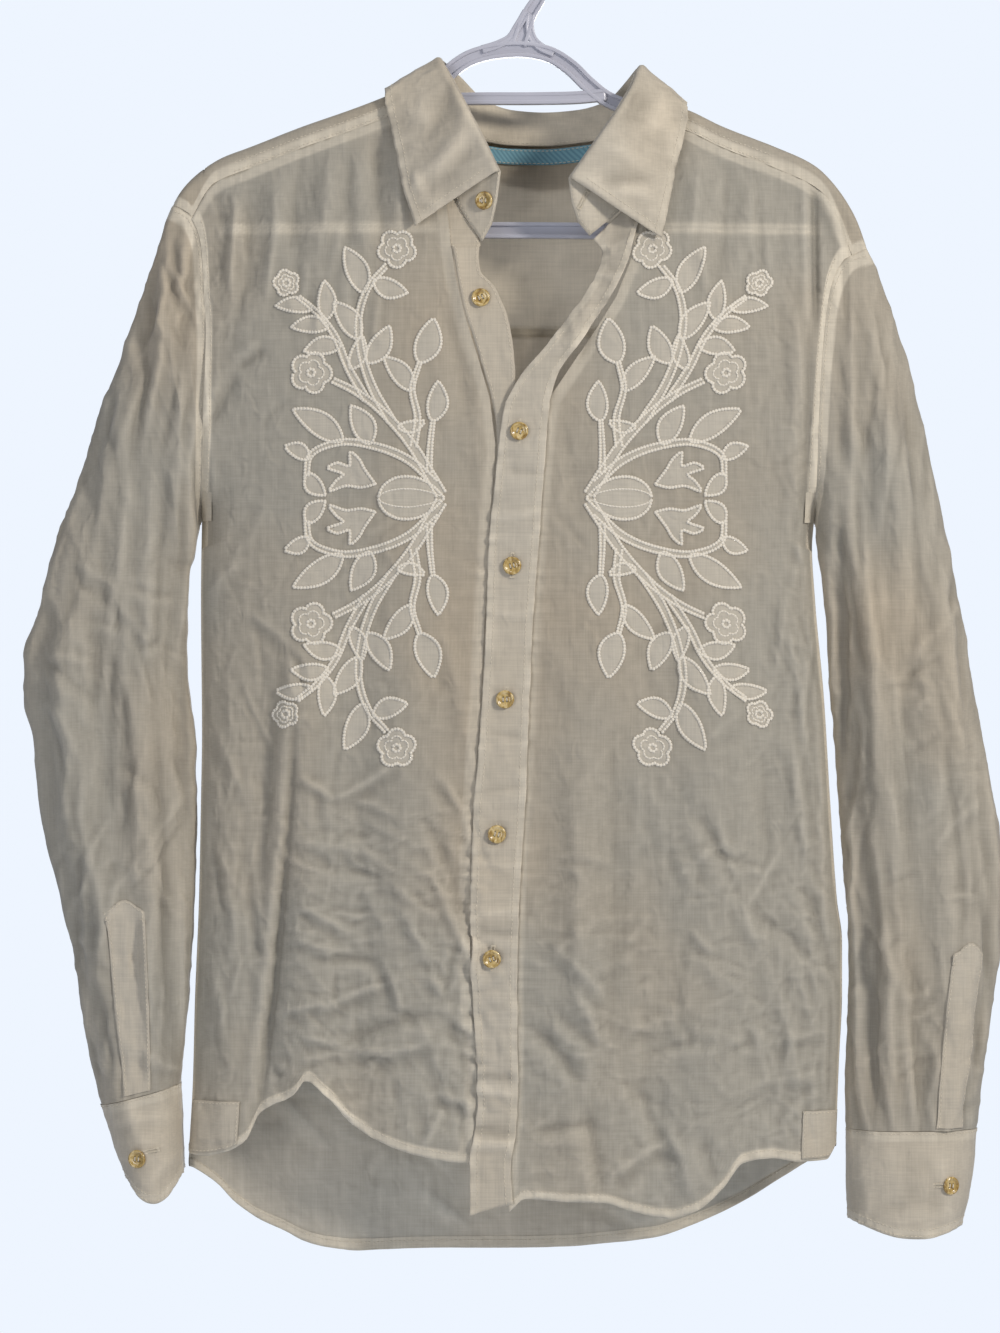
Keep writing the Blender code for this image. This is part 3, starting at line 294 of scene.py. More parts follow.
def strewn(*areas):
    """Small creases of several areas, each with its own seed."""
    return [row for area in areas for row in loose_creases(*area)]


def lattice(a, b, seed):
    """Smooth random heights from 0 to 1 on a unit lattice."""
    table = np.random.default_rng(seed).random((61, 67))
    i, j = np.floor(a).astype(int), np.floor(b).astype(int)
    f, g = a - i, b - j
    f, g = f * f * (3 - 2 * f), g * g * (3 - 2 * g)
    p, q = i % 61, j % 67
    p1, q1 = (i + 1) % 61, (j + 1) % 67
    low = table[p, q] * (1 - f) + table[p1, q] * f
    high = table[p, q1] * (1 - f) + table[p1, q1] * f
    return low * (1 - g) + high * g


def crumple(x, z, seed, wide, tall):
    """Ridged unevenness of washed voile: about wide by tall mm to a patch, heights 0 to 1."""
    warp = 6.0 * lattice(x / 37.0, z / 41.0, seed + 7)
    first = lattice((x + warp) / wide, z / tall, seed)
    second = lattice((x * 0.83 + z * 0.35) / wide * 1.9, (z - x * 0.3) / tall * 1.8, seed + 1)
    ridge = 1 - np.abs(2 * first - 1)
    fine = 1 - np.abs(2 * second - 1)
    return 0.65 * ridge**1.6 + 0.35 * fine**1.6


FRONT_CREASES = [
    # the wearer's right front, seen on the left
    (299, 690, 262, 1108, -3.4, 4.5, 3), (306, 640, 284, 900, 2.4, 9, 0),
    (300, 776, 336, 798, 1.8, 4, 1), (336, 798, 396, 762, 1.6, 4, -1),
    (300, 838, 372, 852, 1.0, 5, 1), (310, 862, 392, 872, -1.0, 5, 0),
    (302, 905, 352, 932, 1.5, 4, 2), (292, 932, 352, 950, 1.3, 4, -2),
    (330, 954, 384, 960, -1.5, 4, 1), (386, 958, 402, 1012, 1.6, 4, 2),
    (270, 1012, 326, 1000, 1.3, 4, 1), (322, 1008, 386, 980, 1.6, 4, 2),
    (345, 1040, 436, 1008, -2.2, 6, 3), (352, 1044, 432, 1036, 1.8, 5, -4),
    (300, 1030, 346, 1042, 1.1, 4, 0), (312, 1076, 360, 1118, 2.6, 6, 0),
    (424, 812, 472, 935, -1.5, 5, 3), (438, 770, 480, 852, 1.2, 4, 2),
    (446, 900, 484, 985, 1.2, 4, 0), (402, 905, 440, 990, 1.1, 5, 3),
    (436, 1086, 478, 1104, 1.7, 4, 1), (446, 1100, 424, 1142, 1.6, 4, 0),
    (448, 1010, 474, 1080, -1.2, 5, 0), (365, 860, 420, 905, 0.9, 4, 2),
    (268, 352, 240, 372, -1.4, 4, 0), (240, 372, 204, 436, -1.6, 5, 2),
    (206, 600, 246, 560, 0.9, 5, 2), (246, 610, 300, 655, 1.0, 4, 2),
    (300, 655, 306, 700, -1.4, 4, 0), (212, 720, 250, 800, 0.9, 5, 0),
    (222, 850, 240, 960, 1.1, 5, 2), (210, 960, 236, 1060, 1.0, 5, 0),
    (275, 178, 268, 300, 1.5, 6, 2), (250, 190, 242, 320, -1.4, 5, 2),
    (330, 152, 318, 262, 1.4, 7, 2), (352, 150, 348, 240, -1.3, 6, 0),
    (378, 140, 386, 250, -2.0, 7, -2), (398, 130, 400, 235, 1.6, 7, 0),
    (300, 165, 292, 255, -1.1, 5, 0), (235, 188, 230, 292, 1.8, 5, 1),
    (290, 300, 300, 332, 0.8, 5, 0), (440, 300, 470, 430, -1.2, 7, 4),
    (455, 245, 468, 335, 1.3, 4, 0), (440, 620, 470, 760, 1.1, 8, 3),
    (205, 330, 216, 520, 1.2, 6, 0), (420, 1015, 446, 1082, 1.0, 5, 2),
    # the wearer's left front, seen on the right
    (612, 735, 608, 1060, -3.0, 11, 3), (572, 760, 574, 1000, 1.2, 9, 2),
    (696, 812, 742, 905, -1.9, 5, 2), (742, 905, 812, 960, -1.5, 6, 3),
    (712, 800, 764, 960, 1.5, 6, -3), (765, 960, 800, 1090, 1.1, 6, 2),
    (800, 880, 832, 985, -1.7, 5, 3), (760, 750, 768, 870, -1.4, 7, 0),
    (790, 740, 806, 860, 1.5, 6, 1), (816, 700, 824, 960, 1.2, 4, 1),
    (746, 905, 778, 850, 1.1, 4, 1), (670, 880, 730, 838, 1.0, 6, 2),
    (548, 938, 612, 1006, 1.4, 5, 3), (552, 1000, 600, 1045, -1.2, 5, -2),
    (574, 985, 606, 1048, 1.2, 5, 1), (524, 1018, 580, 1082, -2.2, 6, 4),
    (620, 1030, 680, 1012, 1.0, 5, 1), (640, 1050, 690, 1036, -1.0, 5, 0),
    (528, 1128, 600, 1118, -1.6, 5, 2), (586, 1098, 602, 1186, -2.0, 6, 0),
    (602, 1176, 674, 1132, 1.5, 5, 2), (664, 1120, 690, 1192, 1.8, 6, 2),
    (628, 1068, 666, 1156, -1.6, 6, 2), (700, 1130, 716, 1178, -1.8, 6, 0),
    (730, 1090, 820, 1072, 1.0, 6, 3), (752, 1046, 826, 1028, 0.9, 5, 2),
    (700, 960, 760, 1010, 0.8, 5, 2), (560, 420, 580, 520, -1.0, 8, 2),
    (600, 300, 576, 372, -1.6, 5, 1), (700, 150, 690, 250, 1.3, 7, 0),
    (726, 160, 716, 290, -1.3, 6, 2), (752, 178, 746, 262, 0.8, 6, 0),
    (790, 300, 800, 420, 1.3, 6, 2), (808, 330, 804, 520, -1.5, 5, 0),
    (780, 600, 800, 740, 1.1, 7, 3), (640, 780, 668, 842, 0.8, 7, 3),
    (548, 640, 580, 720, 0.8, 8, 2), (700, 745, 758, 700, 0.8, 6, 2),
    (814, 182, 814, 330, -3.0, 3.5, 0), (824, 178, 842, 260, 1.8, 5, 2),
]
FRONT_LOOSE = strewn(
    (11, 70, (270, 780, 480, 1110), 62, 34, (14, 46), (0.3, 0.9), (2.2, 4.2)),
    (12, 34, (420, 780, 486, 1100), 24, 16, (18, 60), (0.3, 0.8), (2.2, 4.2)),
    (13, 80, (520, 840, 830, 1170), 50, 44, (14, 50), (0.3, 0.8), (2.4, 4.6)),
    (14, 36, (210, 340, 470, 780), 20, 44, (16, 60), (0.2, 0.5), (2.6, 5)),
    (15, 40, (540, 340, 820, 840), -18, 40, (16, 64), (0.2, 0.5), (2.6, 5)),
    (16, 34, (204, 600, 262, 1120), 4, 12, (24, 70), (0.3, 0.8), (2.2, 4)),
    (17, 40, (786, 380, 836, 1100), 6, 10, (24, 90), (0.3, 0.9), (2.0, 4)),
    (18, 30, (230, 160, 420, 300), -3, 8, (24, 60), (0.3, 0.8), (3, 6)),
    (19, 22, (680, 150, 810, 300), 5, 8, (24, 60), (0.2, 0.6), (3, 6)),
)
FRONT_FINE = strewn(
    (21, 300, (270, 800, 486, 1130), 66, 40, (7, 30), (0.25, 0.8), (1.1, 2.0)),
    (22, 200, (520, 860, 836, 1190), 60, 50, (7, 32), (0.25, 0.7), (1.1, 2.0)),
    (23, 120, (205, 560, 300, 1110), 10, 30, (8, 36), (0.2, 0.6), (1.1, 2.0)),
    (24, 120, (760, 380, 840, 1130), 5, 26, (8, 40), (0.2, 0.6), (1.1, 2.0)),
    (25, 130, (210, 300, 480, 800), 30, 60, (8, 36), (0.1, 0.4), (1.2, 2.2)),
    (26, 150, (540, 300, 830, 860), 30, 60, (8, 36), (0.1, 0.4), (1.2, 2.2)),
    (27, 90, (190, 170, 250, 330), 20, 60, (6, 20), (0.2, 0.6), (1.0, 1.8)),
)
BACK_CREASES = [
    (300, 380, 318, 640, 1.6, 8, 4), (360, 350, 352, 520, -1.5, 6, 2),
    (455, 350, 462, 600, 1.4, 9, 3), (560, 350, 552, 560, -1.2, 8, 2),
    (650, 360, 668, 620, 1.7, 8, 4), (735, 380, 722, 700, -1.6, 7, 3),
    (250, 620, 300, 860, 1.4, 8, 5), (380, 700, 420, 980, -1.8, 7, 4),
    (520, 660, 500, 930, 1.3, 10, 4), (640, 720, 600, 1000, -1.7, 7, 4),
    (760, 640, 730, 900, 1.4, 8, 5), (300, 930, 372, 1040, 1.7, 6, 3),
    (440, 1010, 540, 1070, -1.9, 6, 4), (620, 1060, 700, 990, 1.6, 6, 3),
    (260, 1080, 330, 1150, -1.5, 6, 2), (350, 1120, 450, 1180, 1.7, 6, 3),
    (540, 1120, 640, 1190, -1.6, 6, 3), (700, 1090, 770, 1050, 1.4, 5, 2),
    (420, 1190, 470, 1230, -1.4, 5, 1), (586, 1210, 640, 1232, 1.3, 5, 1),
]
BACK_LOOSE = strewn(
    (31, 90, (210, 760, 820, 1240), 55, 40, (16, 56), (0.3, 0.9), (2.4, 4.6)),
    (32, 60, (210, 360, 820, 780), 4, 26, (20, 80), (0.3, 0.7), (2.8, 5.4)),
    (33, 24, (205, 500, 250, 1140), 2, 10, (24, 80), (0.3, 0.8), (2.4, 4)),
    (34, 24, (780, 500, 835, 1120), -2, 10, (24, 80), (0.3, 0.8), (2.4, 4)),
)


def puckers(run, away, seed, reach=9.0):
    """Drawn-in ripples of cloth beside a seam, as the sewing thread shrinks."""
    wave = lattice(run / 3.6, np.zeros_like(run), seed) - 0.5
    slow = lattice(run / 11.0, np.ones_like(run), seed + 1) - 0.5
    return (0.9 * wave + 0.7 * slow) * np.exp(-np.maximum(away, 0.0) / reach)


def front_relief():
    """Heights of the front cloth: creases, crumpling, puckers by the band and the yoke seam."""
    relief = Relief(160, 60, 880, 1270)
    x, z = relief.x, relief.z
    v = level(z)
    u = units(x)
    open_neck = 1 - 0.6 * step(380, 260, v) * bell((u - 525) / 90)
    rough = 0.35 + 0.65 * step(640, 900, v)
    relief.press(FRONT_CREASES, 2.1)
    relief.press(FRONT_LOOSE, 1.6)
    relief.press(FRONT_FINE, 0.9)
    h = relief.field + 1.5 * rough * (crumple(x, z, 3, 17.0, 15.0) - 0.5)
    h = h + 0.8 * (crumple(x, z, 8, 7.5, 26.0) - 0.5)
    band = np.minimum(np.abs(u - BAND_LEFT(v)), np.abs(u - BAND_RIGHT(v))) * UNIT
    h = h + 1.3 * puckers(z + 0 * x, band, 5) * step(395, 440, v)
    seam = (pz(RIDGE(u)) - z) - YOKE_DROP
    h = h + 1.5 * puckers(x + 0 * z, np.abs(seam), 6, 7.0) * step(-2, 4, seam)
    d = pz(RIDGE(u)) - z
    relief.field = h * np.minimum(section(x, z) * 1.8, 1.0) * step(6, 26, d) * open_neck
    return relief


def back_relief():
    """Heights of the back cloth, by the same means."""
    relief = Relief(160, 60, 880, 1290)
    x, z = relief.x, relief.z
    relief.press(BACK_CREASES, 2.0)
    relief.press(BACK_LOOSE, 1.5)
    h = relief.field + 1.5 * (crumple(x, z, 23, 18.0, 17.0) - 0.5)
    h = h + 0.8 * (crumple(x, z, 28, 8, 24.0) - 0.5)
    h = h + 1.4 * puckers(x + 0 * z, np.abs(z - BACK_SEAM), 26, 8.0)
    d = pz(RIDGE(units(x))) - z
    relief.field = h * np.minimum(section(x, z) * 1.8, 1.0) * step(6, 40, d)
    return relief


FRONT_RELIEF = front_relief()
BACK_RELIEF = back_relief()


def front_depth(x, z):
    return front_form(x, z) + FRONT_RELIEF(x, z)


def back_depth(x, z):
    return back_form(x, z) + BACK_RELIEF(x, z)


def points(x, y, z):
    return np.stack(np.broadcast_arrays(x, y, z), -1).astype(float)


def long(v):
    return np.linalg.norm(v, axis=-1, keepdims=True)


def unit(v):
    return v / np.maximum(long(v), 1e-9)


def surface_at(depth, sign, x, z, lift=0.0):
    """Points on the front (sign -1) or back (sign 1) cloth and the way out of it."""
    x, z = np.asarray(x, float), np.asarray(z, float)
    e = 1.2
    fx = (depth(x + e, z) - depth(x - e, z)) / (2 * e)
    fz = (depth(x, z + e) - depth(x, z - e)) / (2 * e)
    n = unit(points(-fx, np.full(x.shape, float(sign)), -fz))
    return points(x, sign * depth(x, z), z) + n * lift, n


def on_front(x, z, lift=0.0):
    return surface_at(front_depth, -1, x, z, lift)


def armhole(side, part, v):
    z = pz(v)
    x = px(EDGE[side](v))
    sign = -1.0 if part == "front" else 1.0
    depth = front_form if part == "front" else back_form
    w_pit = step(ARMPIT[side] - UNDERARM, ARMPIT[side], v)
    y = sign * (depth(x, z) * (1 - w_pit**4) + 0.45 * w_pit**4)
    return points(x, np.where(np.abs(y) < 0.45, sign * 0.45, y), z)


# Meshes from grids of points.
def normals_of(grid, closed=False):
    if closed:
        wide = np.concatenate([grid[:, -1:], grid, grid[:, :1]], 1)
        across = wide[:, 2:] - wide[:, :-2]
    else:
        across = np.gradient(grid, axis=1)
    down = np.gradient(grid, axis=0)
    return unit(np.cross(across, down))


def facing(normals, row, col, way):
    """The same normals, turned to lie with a known direction at one point."""
    return normals if np.dot(normals[row, col], way) > 0 else -normals


def hemmed(grid, normals, width, end="first", gap=PLY):
    """The grid with one edge turned under: a second layer runs back inside it."""
    if end == "last":
        g, n = hemmed(grid[::-1], normals[::-1], width, gap=gap)
        return g[::-1], n[::-1]
    run = np.cumsum(long(np.diff(grid, axis=0))[..., 0].mean(1))
    last = int(np.searchsorted(run, width)) + 1
    inner = (grid[:last + 1] - normals[:last + 1] * gap)[::-1]
    return np.concatenate([inner, grid]), np.concatenate([normals[:last + 1][::-1], normals])


def cloth_mesh(name, grid, normals, material, closed=False, layers=None, tone=None, hollow=None):
    """A sheet from a grid in mm. Layers, tone and hollow are values that the finish reads; by hollow it
    paints shade, darker in hollows and paler on ridges.
    """
    rows, cols = grid.shape[:2]
    index = np.arange(rows * cols).reshape(rows, cols)
    right = np.roll(index, -1, 1) if closed else index[:, 1:]
    left = index if closed else index[:, :-1]
    quads = np.stack([left[:-1], right[:-1], right[1:], left[1:]], -1).reshape(-1, 4)
    i, j = rows // 2, cols // 2
    k = (j + 1) % cols
    face_way = np.cross(grid[i, k] - grid[i, j], grid[i + 1, j] - grid[i, j])
    if np.dot(face_way, normals[i, j]) < 0:
        quads = quads[:, ::-1]
    mesh = bpy.data.meshes.new(name)
    mesh.from_pydata((grid.reshape(-1, 3) * MM).tolist(), [], quads.tolist())
    mesh.shade_smooth()
    for label, values in (("layers", layers), ("tone", tone), ("hollow", hollow)):
        shade = np.zeros((rows, cols)) if values is None else values
        mesh.attributes.new(label, "FLOAT", "POINT").data.foreach_set(
            "value", np.broadcast_to(shade, (rows, cols)).astype(np.float32).ravel())
    return link(name, mesh, material)


def grid_quads(rows, cols, start=0, closed=False):
    """Faces of a grid of points that are numbered row by row."""
    wide = cols if closed else cols - 1
    return [(start + i * cols + j, start + i * cols + (j + 1) % cols,
             start + (i + 1) * cols + (j + 1) % cols, start + (i + 1) * cols + j)
            for i in range(rows - 1) for j in range(wide)]


def link(name, mesh, material):
    obj = bpy.data.objects.new(name, mesh)
    bpy.context.scene.collection.objects.link(obj)
    mesh.materials.append(material)
    return obj


def dressed(obj, node):
    """The piece stands for a solid, which it hides, and rides with the root."""
    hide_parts(node)
    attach(obj, "root")
    return obj


def added(obj):
    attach(obj, "root")
    return obj


def run_along(line):
    """Distance in mm from the first point of a line, or from the first row of a grid."""
    gaps = long(np.diff(line, axis=0))[..., 0]
    return np.concatenate([np.zeros((1, *gaps.shape[1:])), np.cumsum(gaps, 0)])


def turned_to(a, edge):
    """The same grid with one edge as its first row."""
    if edge.endswith("col"):
        a = a.swapaxes(0, 1)
    return a[::-1] if edge.startswith("last") else a


def turned_back(a, edge):
    if edge.startswith("last"):
        a = a[::-1]
    return a.swapaxes(0, 1) if edge.endswith("col") else a


def distance_to(grid, edge):
    """Distance in mm of each grid point from an edge, along its own row or column."""
    return turned_back(run_along(turned_to(grid, edge)), edge)


def edge_line(grid, normals, edge, inset):
    """Points and normals along a line that runs a set distance in from one edge."""
    g, n = turned_to(grid, edge), turned_to(normals, edge)
    run = run_along(g)
    line, out = [], []
    for i in range(g.shape[1]):
        k = int(np.clip(np.searchsorted(run[:, i], inset), 1, len(g) - 1))
        t = (inset - run[k - 1, i]) / max(run[k, i] - run[k - 1, i], 1e-6)
        line.append(g[k - 1, i] * (1 - t) + g[k, i] * t)
        out.append(n[k - 1, i] * (1 - t) + n[k, i] * t)
    return np.array(line), unit(np.array(out))


class Threads:
    """Gathers many small thread shapes into one mesh."""

    def __init__(self):
        self.verts, self.faces = [], []

    def grain(self, middle, along, normal, length, width, height, sides=6):
        """One raised stitch: a grain of thread, pointed at both ends."""
        across = unit(np.cross(normal, along))
        start = len(self.verts)
        self.verts.append(middle - along * length / 2)
        for q, r in ((-0.28, 0.86), (0.28, 1.0)):
            for k in range(sides):
                a = 2 * math.pi * k / sides
                self.verts.append(middle + along * length * q + across * width / 2 * r * math.cos(a)
                                  + normal * height / 2 * r * math.sin(a))
        self.verts.append(middle + along * length / 2)
        low, high, last = start + 1, start + 1 + sides, start + 1 + 2 * sides
        for k in range(sides):
            m = (k + 1) % sides
            self.faces += [(start, low + m, low + k), (low + k, low + m, high + m, high + k),
                           (high + k, high + m, last)]

    def run(self, line, normals, pitch, length, width, height, sides=4, lift=0.1):
        """A row of stitches along a line of points."""
        at = run_along(line)
        for s in np.arange(pitch / 2, at[-1], pitch):
            k = int(np.clip(np.searchsorted(at, s), 1, len(line) - 1))
            t = (s - at[k - 1]) / max(at[k] - at[k - 1], 1e-6)
            p = line[k - 1] * (1 - t) + line[k] * t
            n = unit(normals[k - 1] * (1 - t) + normals[k] * t)
            along = unit(line[k] - line[k - 1])
            self.grain(p + n * lift, along, n, length, width, height, sides)

    def piece(self, name, material):
        mesh = bpy.data.meshes.new(name)
        mesh.from_pydata([tuple(float(c) * MM for c in v) for v in self.verts], [], self.faces)
        mesh.shade_smooth()
        return link(name, mesh, material)


# Finishes.
def linear(code):
    parts = [int(code[i:i + 2], 16) / 255 for i in (1, 3, 5)]
    return [c / 12.92 if c <= 0.04045 else ((c + 0.055) / 1.055) ** 2.4 for c in parts] + [1.0]


def add(tree, kind, inputs=None, **settings):
    """Adds a node. An input that is a socket is linked, and any other is its value."""
    node = tree.nodes.new(kind)
    for key, value in settings.items():
        setattr(node, key, value)
    for key, value in (inputs or {}).items():
        if isinstance(value, bpy.types.NodeSocket):
            tree.links.new(value, node.inputs[key])
        else:
            node.inputs[key].default_value = value
    return node


def finish_of(name, **values):
    """A new material with constant values on its main shader."""
    material = bpy.data.materials.new(name)
    material.use_nodes = True
    shader = material.node_tree.nodes["Principled BSDF"]
    for key, value in values.items():
        shader.inputs[key.replace("_", " ")].default_value = value
    return material, material.node_tree, shader


def stretched(tree, across, deep, down):
    """Object coordinates counted in patches of so many mm each way."""
    coords = add(tree, "ShaderNodeTexCoord").outputs["Object"]
    return add(tree, "ShaderNodeMapping", {"Vector": coords, "Scale": (
        1 / (across * MM), 1 / (deep * MM), 1 / (down * MM))}).outputs["Vector"]


def noise(tree, patch, detail=2.0, settings=None, **more):
    """Soft unevenness in patches of so many mm across, deep and down."""
    inputs = {"Vector": stretched(tree, *patch), "Scale": 1.0, "Detail": detail, **more}
    return add(tree, "ShaderNodeTexNoise", inputs, **(settings or {})).outputs["Fac"]


def ranged(tree, value, low, high, start=0.0, end=1.0):
    """A value that goes from low to high while another goes from start to end."""
    return add(tree, "ShaderNodeMapRange", {"Value": value, "From Min": start, "From Max": end,
                                            "To Min": low, "To Max": high}).outputs["Result"]


def blend(tree, share, first, second):
    """A colour between two."""
    return add(tree, "ShaderNodeMix", {"Factor": share, 6: first, 7: second},
               data_type="RGBA").outputs[2]


def dimmed(tree, colour, share):
    return add(tree, "ShaderNodeVectorMath", {0: colour, "Scale": share}, operation="SCALE").outputs[0]


def attribute(tree, label):
    return add(tree, "ShaderNodeAttribute", attribute_name=label).outputs["Fac"]


def bump(tree, height, strength, distance, **more):
    return add(tree, "ShaderNodeBump", {"Height": height, "Strength": strength,
                                        "Distance": distance * MM, **more}).outputs["Normal"]


def voile(name, thin, warm, thick, crinkle, sheer):
    """Washed cotton voile: dull and slightly fuzzy, with uneven threads both ways, tones that
    drift from grey to warm, and paler where it lies double. Painted shade darkens it in its
    hollows and lightens it on its ridges."""
    material, tree, shader = finish_of(name, Roughness=0.86, IOR=1.5, Sheen_Weight=0.18,
                                       Sheen_Roughness=0.5)
    layers = attribute(tree, "layers")
    swing = ranged(tree, noise(tree, (120, 120, 150)), -0.25, 0.35, 0.38, 0.62)
    warmth = add(tree, "ShaderNodeMath", {0: attribute(tree, "tone"), 1: swing}, operation="ADD",
                 use_clamp=True).outputs[0]
    body = blend(tree, warmth, linear(thin), linear(warm))
    plied = blend(tree, layers, body, linear(thick))
    # Threads are about 0.3 mm in real voile, and drawn 0.9 mm wide so that they show.
    warp = noise(tree, (0.9, 3, 26), 1.0)
    weft = noise(tree, (26, 3, 0.9), 1.0)
    weave = add(tree, "ShaderNodeMath", {0: warp, 1: weft}, operation="ADD").outputs[0]
    shade = ranged(tree, weave, 0.93, 1.06, 0.7, 1.3)
    # Painted shade: the colour is made darker where the cloth lies in a hollow and paler on a ridge.
    depth = ranged(tree, attribute(tree, "hollow"), 1.13, 0.74, -0.9, 0.9)
    both = add(tree, "ShaderNodeMath", {0: shade, 1: depth}, operation="MULTIPLY").outputs[0]
    colour = dimmed(tree, plied, both)
    tree.links.new(colour, shader.inputs["Base Color"])
    glow = add(tree, "ShaderNodeBsdfTranslucent", {"Color": colour}).outputs[0]
    share = ranged(tree, layers, sheer, 0.06)
    cloth = add(tree, "ShaderNodeMixShader", {0: share, 1: shader.outputs[0], 2: glow}).outputs[0]
    tree.links.new(cloth, tree.nodes["Material Output"].inputs["Surface"])
    crease = noise(tree, (9, 9, 13), 4.0, dict(noise_type="RIDGED_MULTIFRACTAL", normalize=True),
                   Roughness=0.55, Distortion=0.6)
    fold_bump = bump(tree, crease, crinkle, 1.6)
    tree.links.new(bump(tree, weave, 0.35, 0.25, Normal=fold_bump), shader.inputs["Normal"])
    return material


def sewn_thread(name, code, sheen):
    """Mercerised cotton thread: paler than the cloth, with a soft shine along its twist."""
    material, tree, shader = finish_of(name, Roughness=0.6, IOR=1.5, Sheen_Weight=sheen)
    shade = ranged(tree, noise(tree, (1.2, 1.2, 1.2)), 0.86, 1.1)
    base = add(tree, "ShaderNodeRGB")
    base.outputs[0].default_value = linear(code)
    tree.links.new(dimmed(tree, base.outputs[0], shade), shader.inputs["Base Color"])
    return material


def twill_tape():
    """Woven cotton tape dyed teal: dull, with slanting ribs about 0.8 mm apart."""
    material, tree, shader = finish_of("Woven cotton tape, teal", Roughness=0.85, IOR=1.5,
                                       Sheen_Weight=0.1)
    ribs = add(tree, "ShaderNodeTexWave", {"Vector": stretched(tree, 1.6, 1.6, 1.6), "Scale": 0.3,
                                           "Distortion": 0.6},
               bands_direction="DIAGONAL").outputs["Fac"]
    dye = blend(tree, ribs, linear("#5D8796"), linear("#74A0AC"))
    tree.links.new(dye, shader.inputs["Base Color"])
    tree.links.new(bump(tree, ribs, 0.3, 0.2), shader.inputs["Normal"])
    return material


def horn_resin():
    """Cast polyester resin, polished: amber with cloudy streaks, glossy, slightly see-through."""
    material, tree, shader = finish_of("Cast polyester resin, amber", Roughness=0.22, IOR=1.56,
                                       Transmission_Weight=0.12, Coat_Weight=0.4,
                                       Coat_Roughness=0.12)
    cloud = noise(tree, (4.5, 4.5, 7.0), 3.0, Distortion=1.4)
    ramp = add(tree, "ShaderNodeValToRGB", {"Fac": cloud})
    stops = ramp.color_ramp
    stops.elements[0].position, stops.elements[0].color = 0.34, linear("#8A6A2E")
    stops.elements[1].position, stops.elements[1].color = 0.66, linear("#D8C08A")
    middle = stops.elements.new(0.5)
    middle.color = linear("#B79A58")
    tree.links.new(ramp.outputs["Color"], shader.inputs["Base Color"])
    return material


def moulded_plastic():
    """Injection moulded polystyrene, silver grey: smooth, with faint flow marks and scuffs."""
    material, tree, shader = finish_of("Moulded polystyrene, silver grey", IOR=1.59,
                                       Coat_Weight=0.15, Coat_Roughness=0.2)
    flow = blend(tree, noise(tree, (60, 20, 9), 3.0), linear("#A3A3AD"), linear("#B9B9C2"))
    tree.links.new(flow, shader.inputs["Base Color"])
    scuffs = ranged(tree, noise(tree, (3, 3, 3), 5.0), 0.24, 0.42)
    tree.links.new(scuffs, shader.inputs["Roughness"])
    return material


VOILE = voile("Cotton voile, single", "#B0AA9C", "#BAAD98", "#D0C6B2", 0.6, 0.28)
VOILE_DOUBLE = voile("Cotton voile, doubled", "#BEB6A6", "#C2B6A1", "#D0C6B2", 0.45, 0.12)
VOILE_YOKE = voile("Cotton voile, doubled, light behind", "#BEB6A6", "#C2B6A1", "#D0C6B2", 0.45, 0.34)
THREAD = sewn_thread("Cotton thread, cream", "#CFC5B0", 0.1)
BRAID = sewn_thread("Mercerised embroidery cotton, cream", "#D6CEBE", 0.25)
FILLING = voile("Darned filling of the embroidery", "#BFB7A7", "#BFB5A2", "#D6CCB8", 0.6, 0.12)
TAPE = twill_tape()
RESIN = horn_resin()
PLASTIC = moulded_plastic()


def tone_at(x, z):
    """Warmer near the middle of the front, greyer to the sides and low down."""
    u, v = units(x), level(z)
    warm = 0.75 * bell((u - 500) / 110) * step(200, 360, v) * (1 - step(820, 1000, v))
    warm = warm + 0.35 * bell((u - 640) / 120) * bell((v - 560) / 240)
    return np.clip(warm, 0, 1)


# Fronts.
SIDE_LOW = {"r": 1152.0, "l": 1140.0}
BUTTON_BAND_SEAM = curve([(247, 452), (300, 461), (350, 476), (401, 491), (429, 496), (500, 498)])


def yoke_seam(x):
    u = units(x)
    steep = step(216, 176, u) + step(822, 862, u)
    return pz(RIDGE(u)) - YOKE_DROP - 20.0 * steep


def seam_end(side):
    v = TOP[side] + 3.0
    while level(yoke_seam(px(EDGE[side](v)))) > v:
        v += 0.5
    return v


FRONT_TOP = {"r": seam_end("r"), "l": seam_end("l")}
NECK_TOP = {"r": (px(425.5), pz(105)), "l": (px(666), pz(127))}


def middle_paths():
    """The middle edge of each front: along the band, up the open neck, round the neckline."""
    right = [(px(np.minimum(BAND_LEFT(v) - 1.0, BUTTON_BAND_SEAM(v) - 1.2)), pz(v), "")
             for v in (1157, 1110, 1060, 1000, 920, 850, 760, 690, 600, 520, 450)]
    right += [(px(BUTTON_BAND_SEAM(v) - 1.2), pz(v), "v" if v == 401 else "")
              for v in (401, 360, 320, 285, 250)]
    right += [(px(450), pz(234), "stand"), (px(447), pz(208), ""), (px(438), pz(176), ""),
              (px(431), pz(140), ""), (*NECK_TOP["r"], "")]
    left = [(px(BAND_RIGHT(v)) - 2.5, pz(v), "")
            for v in (1196, 1150, 1110, 1060, 1000, 920, 850, 760, 690, 600, 520, 450)]
    left += [(px(549), pz(401), "v"), (px(570), pz(370), ""), (px(597), pz(330), ""),
             (px(615), pz(301), ""), (px(632), pz(258), ""), (px(633), pz(228), "stand"),
             (px(645), pz(200), ""), (px(656), pz(176), ""), (px(661), pz(152), ""),
             (*NECK_TOP["l"], "")]
    out = {}
    for side, rows in (("r", right), ("l", left)):
        xz = np.array([(float(r[0]), float(r[1])) for r in rows])
        run = run_along(xz)
        marks = {r[2]: s for r, s in zip(rows, run) if r[2]}
        out[side] = (run, xz, marks)
    return out


MIDDLE = middle_paths()


